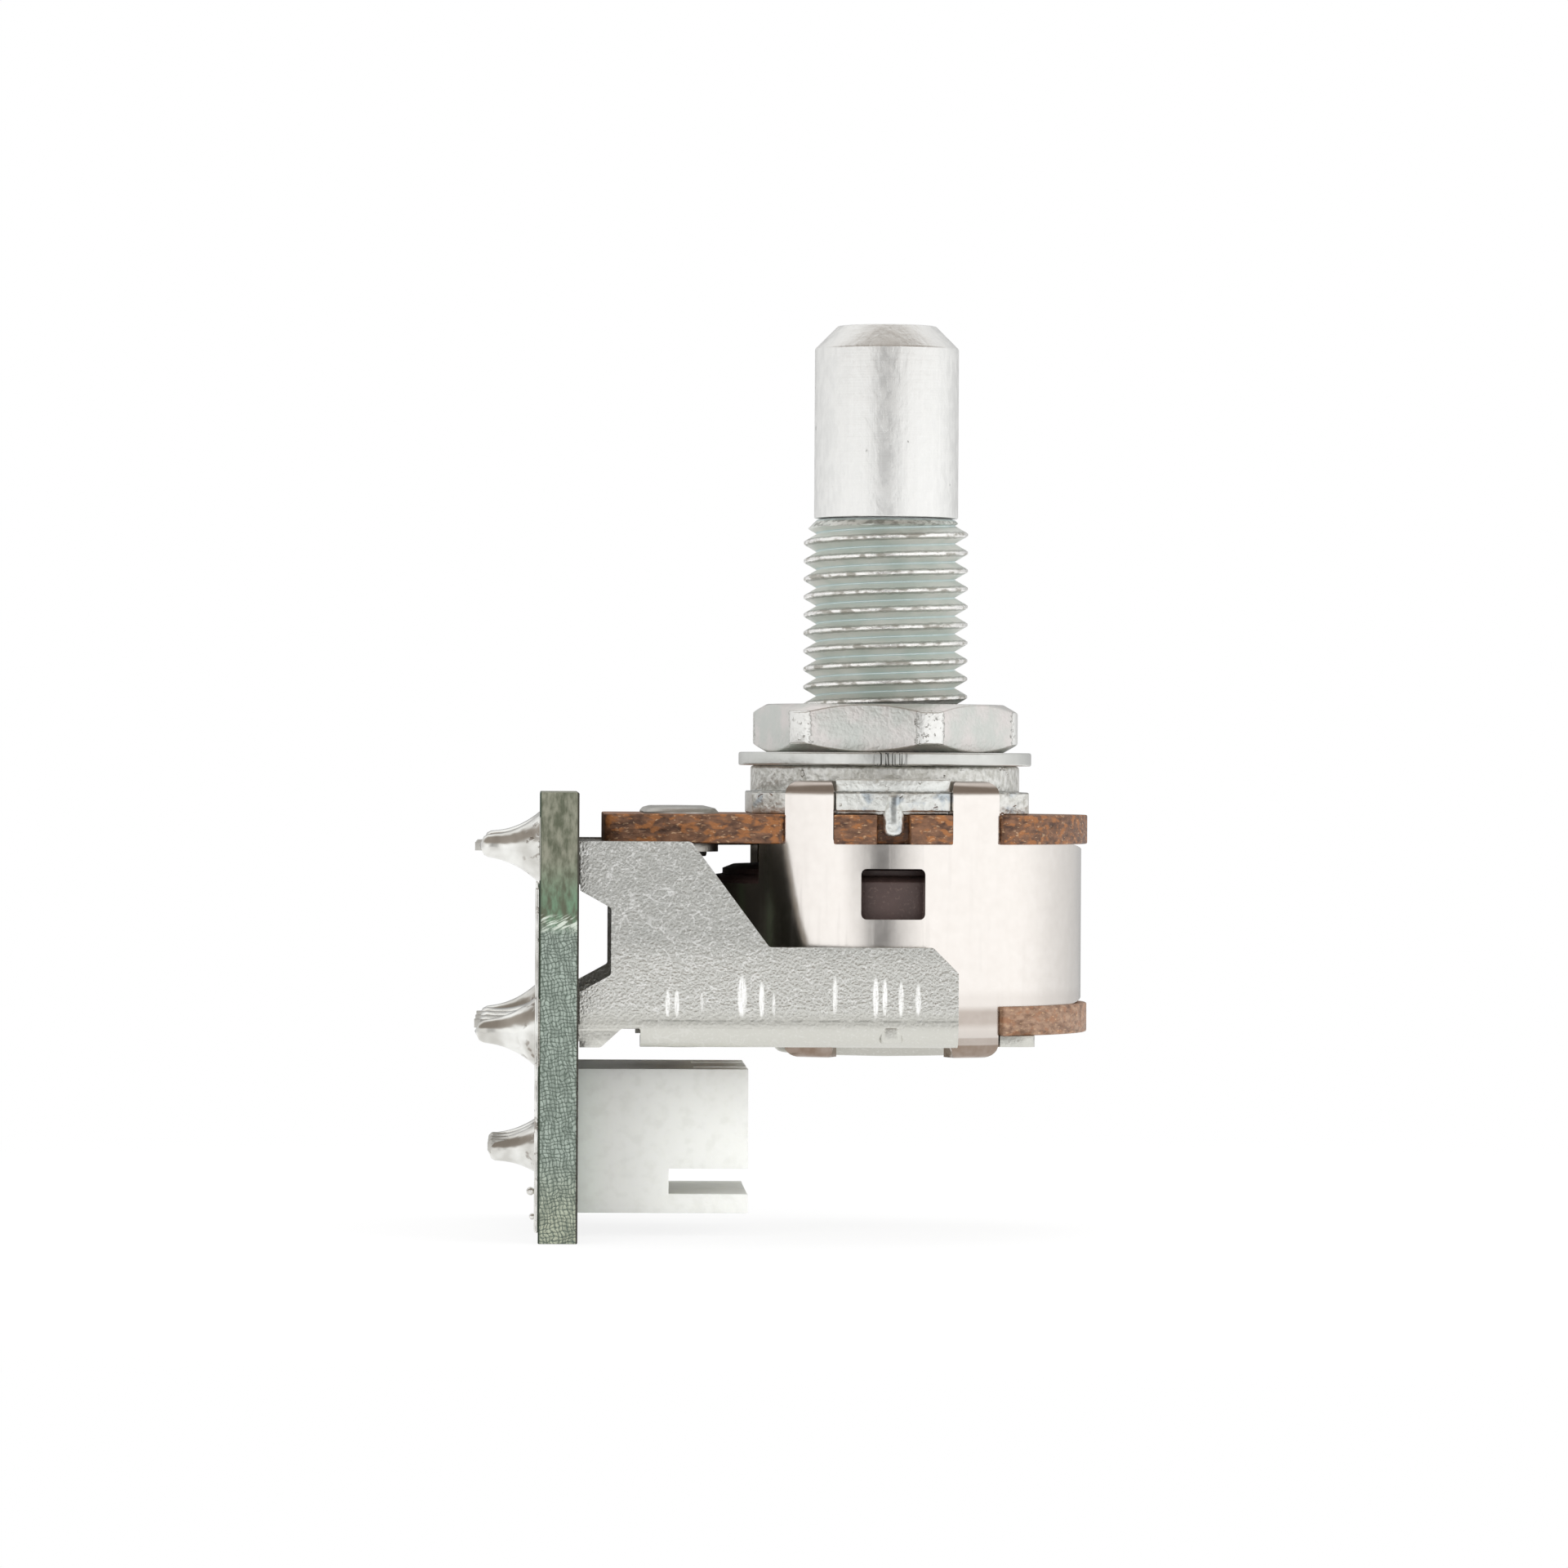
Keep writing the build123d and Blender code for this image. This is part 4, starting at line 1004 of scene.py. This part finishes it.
# A dark broken line is painted where the bend begins: painted shade.
bend_shade_line = rise(magnitude(z + 10.36), 0.07, 0.01) * rise(x, -10.4, -10.1)
bend_shade_line = bend_shade_line * rise(grain(place, 0.5, 2.0), 0.38, 0.60)
plate = between(bend_shade_line * 0.5, plate, rgb(140, 140, 134))
lay(shader, colour=between(light, plate, rgb(252, 252, 250)), metal=1.0 - 0.6 * marks,
    rough=0.30 + 0.10 * grain(place, 0.4),
    height=(0.035 + 0.03 * rise(z, -6.5, -8.5) - 0.050 * clear) * orange_peel - 0.02 * marks)

left = -12.71
flank_outline = rounded([
    (left, -3.11), (-8.22, -3.11), (-5.04, -7.37), (1.60, -7.37), (2.63, -8.40), (2.63, bend_z - unrolled),
    (-10.25, bend_z - unrolled), (-10.25, bend_z - 0.12), (-10.45, -10.67), (-11.0, -10.67),
    (-11.85, -11.45), (left, -11.45), (left, -11.2), (-16.55, -11.2), (-16.55, -10.5), (left, -10.5),
    (left, -9.21), (-11.45, -8.51), (-11.45, -5.81), (left, -5.11), (left, -3.7), (-16.45, -3.7),
    (-16.45, -3.12), (left, -3.12)],
    [0, 0.25, 0.2, 0.15, 0.15, 0, 0, 0.1, 0.2, 0.35, 0.25, 0, 0, 0.05, 0.05, 0, 0, 0.15, 0.15, 0, 0, 0.05,
     0.05, 0])


def bent_flank(name, side):
    """One flank with its quarter bend, cut flat, then bent along the bottom, then given its thickness."""
    flat = [(x, 0.0, z) for x, z in flank_outline]
    made = piece(name, [(flat, [list(range(len(flat)))])], sheet_zinc)
    with opened(made) as work:
        for k in range(8):
            sliced(work, (0, 0, 1), bend_z - unrolled * k / 8)
        for v in work.verts:
            x, s = v.co.x * 1000, v.co.z * 1000
            y, z = -flank_mid, s
            if s < bend_z and x > -10.3:
                t = (bend_z - s) / bend_mid
                y, z = -bend_y - bend_mid * cos(t), bend_z - bend_mid * sin(t)
            v.co = Vector((x, y * side, z)) * 0.001
        bmesh.ops.remove_doubles(work, verts=work.verts, dist=5e-6)
        bmesh.ops.recalc_face_normals(work, faces=work.faces)
    return dressed(walled(made), 0.05, 2, 40.0)


plate_left, plate_right, lip_half = -10.25, 2.63, 6.9
lip = rounded([(plate_right, -lip_half), (5.9, -lip_half), (5.9, lip_half), (plate_right, lip_half)],
              [0, 0.6, 0.6, 0])
plate_outline = [(plate_left, -bend_y), (plate_right, -bend_y), *lip, (plate_right, bend_y),
                 (plate_left, bend_y)]
bottom = piece("bottom", [slab(plate_outline, *plate_z)], sheet_zinc)
cut_z = (-12, -10)
slots = [wedge((notch_r, 8.3), tab, 8.0, cut_z) for tab in tab_angles]
cut(bottom, box((-11.0, -6.0), (-7.3, 7.3), cut_z), slab(arc(4.5, 0, 355, 5.0), *cut_z), *slots)
dressed(bottom, 0.05, 2, 40.0)
pan = spun(rounded([
    (0, -11.55), (3.9, -11.42), (4.35, -11.1), (4.55, -11.02), (4.85, -11.02), (4.85, -11.46),
    (4.36, -11.92), (0, -12.105)], [0, 0.2, 0.2, 0.1, 0, 0.2, 0.3, 0]), 128)
pan = dressed(piece("pan", [pan], sheet_zinc), corner=50.0)
ribs = []
for side in (1, -1):
    rib = box((-0.6, 0.4), (-9.05, -8.45), (-11.32, -10.4))
    rib = piece("rib", [([(x, y * side, z) for x, y, z in rib[0]], rib[1])], sheet_zinc)
    ribs.append(dressed(rib, 0.38, 6))
bracket = united(bent_flank("sheet_bracket", 1), bent_flank("far_flank", -1), bottom, pan, *ribs)
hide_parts("bracket")
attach(bracket, "housing")

# Circuit board. Glass laminate on edge behind the bracket, sawn out: the edge has a smooth skin of resin
# above and open weave below. Green lacquer, tracks and tinned rings on the back; drilled for every pin.

board_x = (-14.36, -12.76)
header_pitch = 2.5


def copied(name, node, metal, rim, steps=2):
    """A merged copy of a solid with flat sides, its coplanar triangles joined and its edges rounded."""
    made = added(name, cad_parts[node].data.copy())
    made.data.materials.clear()
    made.data.materials.append(metal)
    with opened(made) as work:
        bmesh.ops.remove_doubles(work, verts=work.verts, dist=1e-6)
        bmesh.ops.dissolve_limit(work, angle_limit=radians(1.0), verts=work.verts, edges=work.edges)
    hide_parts(node)
    return dressed(made, rim, steps)


laminate, shader, place = finish("glass_laminate", 0.0, 0.45)
x, y, z = axes(place)
low = rise(z, -6.2, -7.0)
slant = place.node("ShaderNodeVectorRotate", {"rotation_type": "Y_AXIS"}, {"Vector": place, "Angle": 0.45})
scraped = rise(z, -6.0, -6.25) * rise(z, -6.95, -6.6)
drift, bend = grain(place, 0.55, 3.0), grain(place, 0.55, 3.0, shift=6.0)
across = (x * 6.6 + z * 1.1 + drift * 3.2) * pi
along = (z * 6.0 - x * 0.7 + bend * 3.2) * pi
weave = magnitude(across.maths("SINE", across)) * magnitude(along.maths("SINE", along))
fuzz = grain(place, 0.10, 5.0)
blotch = rise(grain(place, 0.26, 5.0, (0.8, 1.0, 2.2)), 0.30, 0.70)
skin = between(rise(z, -3.6, -5.8), rgb(130, 130, 114), rgb(100, 130, 104))
skin = between(blotch, rgb(80, 84, 66), skin)
pale = between(rise(z, -15.5, -18.8), rgb(156, 168, 158), rgb(168, 174, 154))
streak = rise(grain(place, 0.30, 4.0, (0.5, 1.0, 2.6), 5.0), 0.58, 0.44)
threads = rise(weave + 0.60 * (fuzz - 0.5), 0.0, 0.42) * (0.55 + 0.45 * streak)
colour = between(low, skin, between(threads, rgb(84, 96, 86), pale))
scores = rise(grain(slant, 0.10, 3.0, (7.0, 1.0, 1.0)), 0.46, 0.60)
colour = between(scraped * scores, colour, rgb(194, 202, 190))
sides = most(rise(x, -14.27, -14.31), rise(x, -12.86, -12.81))
out = magnitude(y)
track, pad = 0.0 * x, 0.0 * x
for at_y, top, foot in ((5.0, -3.4, -11.1), (0.0, -3.4, -15.85), (8.825, -3.4, -18.5)):
    line = rise(magnitude(out - at_y), 0.38, 0.32)
    track = most(track, line * rise(z, foot, foot + 0.05) * rise(z, top, top - 0.05))
for at_y, at_z, pad_r in ((8.825, -3.42, 1.75), (5.0, -3.38, 1.45), (0.0, -3.38, 1.45), (8.825, -10.82, 1.8),
                          (5.0, -11.1, 1.5), (0.0, -11.1, 1.5), (2.5, -15.85, 1.3), (0.0, -15.85, 1.3)):
    pad = most(pad, rise(length(out - at_y, z - at_z), pad_r, pad_r - 0.06))
pad = pad * rise(x, -14.30, -14.345)
lacquer = between(grain(place, 1.6, 4.0), rgb(36, 50, 36), rgb(50, 64, 46))
# The inner face, towards the pot, is painted dark brown instead of green: painted shade.
lacquer = between(rise(x, -13.6, -13.5), lacquer, rgb(50, 47, 38))
lacquer = between(pad, between(track * 0.7, lacquer, rgb(64, 80, 56)), rgb(196, 194, 186))
lay(shader, colour=between(sides, colour, lacquer), rough=0.40 + 0.25 * fuzz - 0.10 * pad, metal=pad,
    height=(0.01 + 0.05 * low) * fuzz + 0.05 * low * weave + 0.02 * sides * (track + pad))
board = piece("laminate_board", [box(board_x, (-10.0, 10.0), (-19.35, -1.15))], laminate)
drills = [(y, z, 0.65) for y in terminal_rows for z in (-3.375, -11.175 + step_rise)]
drills += [(y, -15.78, 0.53) for y in (-header_pitch, 0.0, header_pitch)]
tools = []
for drill in drills:
    points, faces = slab(circle(*drill), -15.0, -12.0)
    tools.append(([(c, a, b) for a, b, c in points], faces))
for slot_y in ((8.45, 9.2), (-9.2, -8.45)):
    tools += [box((-15.0, -12.0), slot_y, slot_z) for slot_z in ((-3.85, -2.97), (-11.35, -10.35))]
cut(board, *tools)
dressed(board, 0.05)
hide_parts("circuit_board")
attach(board, "housing")

# Header. A white moulded nylon shroud for a three-way plug, open away from the board, with keying slots;
# its square tinned pins go through the board.

nylon, shader, place = finish("white_nylon", 0.0, 0.42)
x, y, z = axes(place)
cast = between(rise(x, -11.2, -12.7), rgb(243, 244, 239), rgb(240, 246, 237))
lay(shader, colour=between(rise(grain(place, 0.5, 5.0), 0.45, 0.7) * 0.3, cast, rgb(222, 223, 216)),
    rough=0.36 + 0.2 * grain(place, 0.6), height=0.01 * grain(place, 0.2, 4.0))
shader.inputs["Subsurface Weight"].default_value = 0.35
shader.inputs["Subsurface Radius"].default_value = (1.0, 1.0, 0.9)
shader.inputs["Subsurface Scale"].default_value = 0.0012
housing = copied("header_shroud", "header_housing", nylon, 0.10, 3)
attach(housing, "housing")
pins = copied("header_contacts", "header_pins", tinned, 0.04)
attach(pins, "housing")

# Solder. Bright joints on the back of the board: each has climbed its pin or tab in a hollow curve to a
# blunt tip, on a tinned pad. Two tinned strips run down the edges, with two loose balls near the front one.

joint_x = -14.37

bright_solder, shader, place = finish("bright_solder", 1.0, 0.14)
x, y, z = axes(place)
swirl = grain(place, 1.1, 2.0)
flux = rise(grain(place, 0.35, 5.0, shift=4.0), 0.58, 0.70) * rise(x, -15.4, -14.6)
skin = between(rise(swirl, 0.3, 0.7), rgb(200, 198, 192), rgb(242, 242, 238))
lay(shader, colour=between(flux * 0.7, skin, rgb(120, 108, 96)), rough=0.10 + 0.20 * swirl,
    height=0.10 * swirl + 0.01 * flux)


def joint(half_z, half_y, tall, tip_z, tip_y, lean=0.0):
    """A hollow-sided cone that points away from the board, from an oval pad to a rounded tip."""
    points, rings, sides = [], 14, 32
    for k in range(rings + 1):
        t = k / rings
        share = (1 - t) ** 2.3
        close = sqrt(max(0.0, 1 - max(0.0, (t - 0.82) / 0.18) ** 2)) if t > 0.82 else 1.0
        for i in range(sides):
            a = 2 * pi * i / sides
            z = (tip_z + (half_z - tip_z) * share) * cos(a) * close + lean * t
            y = (tip_y + (half_y - tip_y) * share) * sin(a) * close
            points.append((-tall * t, y, z))
    faces = [list(range(sides))[::-1]]
    for k in range(rings * sides):
        beside = k + 1 if (k + 1) % sides else k + 1 - sides
        faces.append([k, beside, beside + sides, k + sides])
    return points, faces


strips = [box((-14.52, -14.34), y, (-18.9, -5.0)) for y in ((-9.95, -8.60), (8.60, 9.95))]
ground = dressed(piece("ground_edge", strips, bright_solder), 0.07, 3)
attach(ground, "housing")
for name, ball_r, at in (("solder_ball", 0.17, (-14.66, -9.7, -17.23)),
                         ("small_solder_ball", 0.13, (-14.58, -9.7, -18.25))):
    form = spun([(ball_r * sin(pi * k / 12), ball_r * cos(pi * k / 12)) for k in range(13)], 24)
    ball = dressed(piece(name, [moved(form, at)], bright_solder), corner=60.0)
    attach(ball, "housing")

for name, node, sizes, at_z, count, spacing in (
        ("bracket_joints", "bracket_solder", (1.40, 1.1, 2.42, 0.46, 0.40, 0.12), -3.42, 2, 2 * flank_mid),
        ("lower_bracket_joints", None, (1.52, 1.1, 2.58, 0.46, 0.40), -10.82, 2, 2 * flank_mid),
        ("upper_terminal_joints", "upper_terminal_solder", (1.12, 1.1, 2.00, 0.28, 0.58), -3.375, 3,
         terminal_pitch),
        ("lower_terminal_joints", "lower_terminal_solder", (1.25, 1.1, 2.50, 0.34, 0.58, 0.55), -11.1, 3,
         terminal_pitch),
        ("header_joints", "header_solder", (1.08, 1.05, 2.08, 0.46, 0.42, -0.08), -15.85, 3, header_pitch)):
    made = dressed(piece(name, [joint(*sizes)], bright_solder), corner=60.0)
    in_row(made, (joint_x, 0, at_z), count, spacing)
    if node:
        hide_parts(node)
    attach(made, "housing")
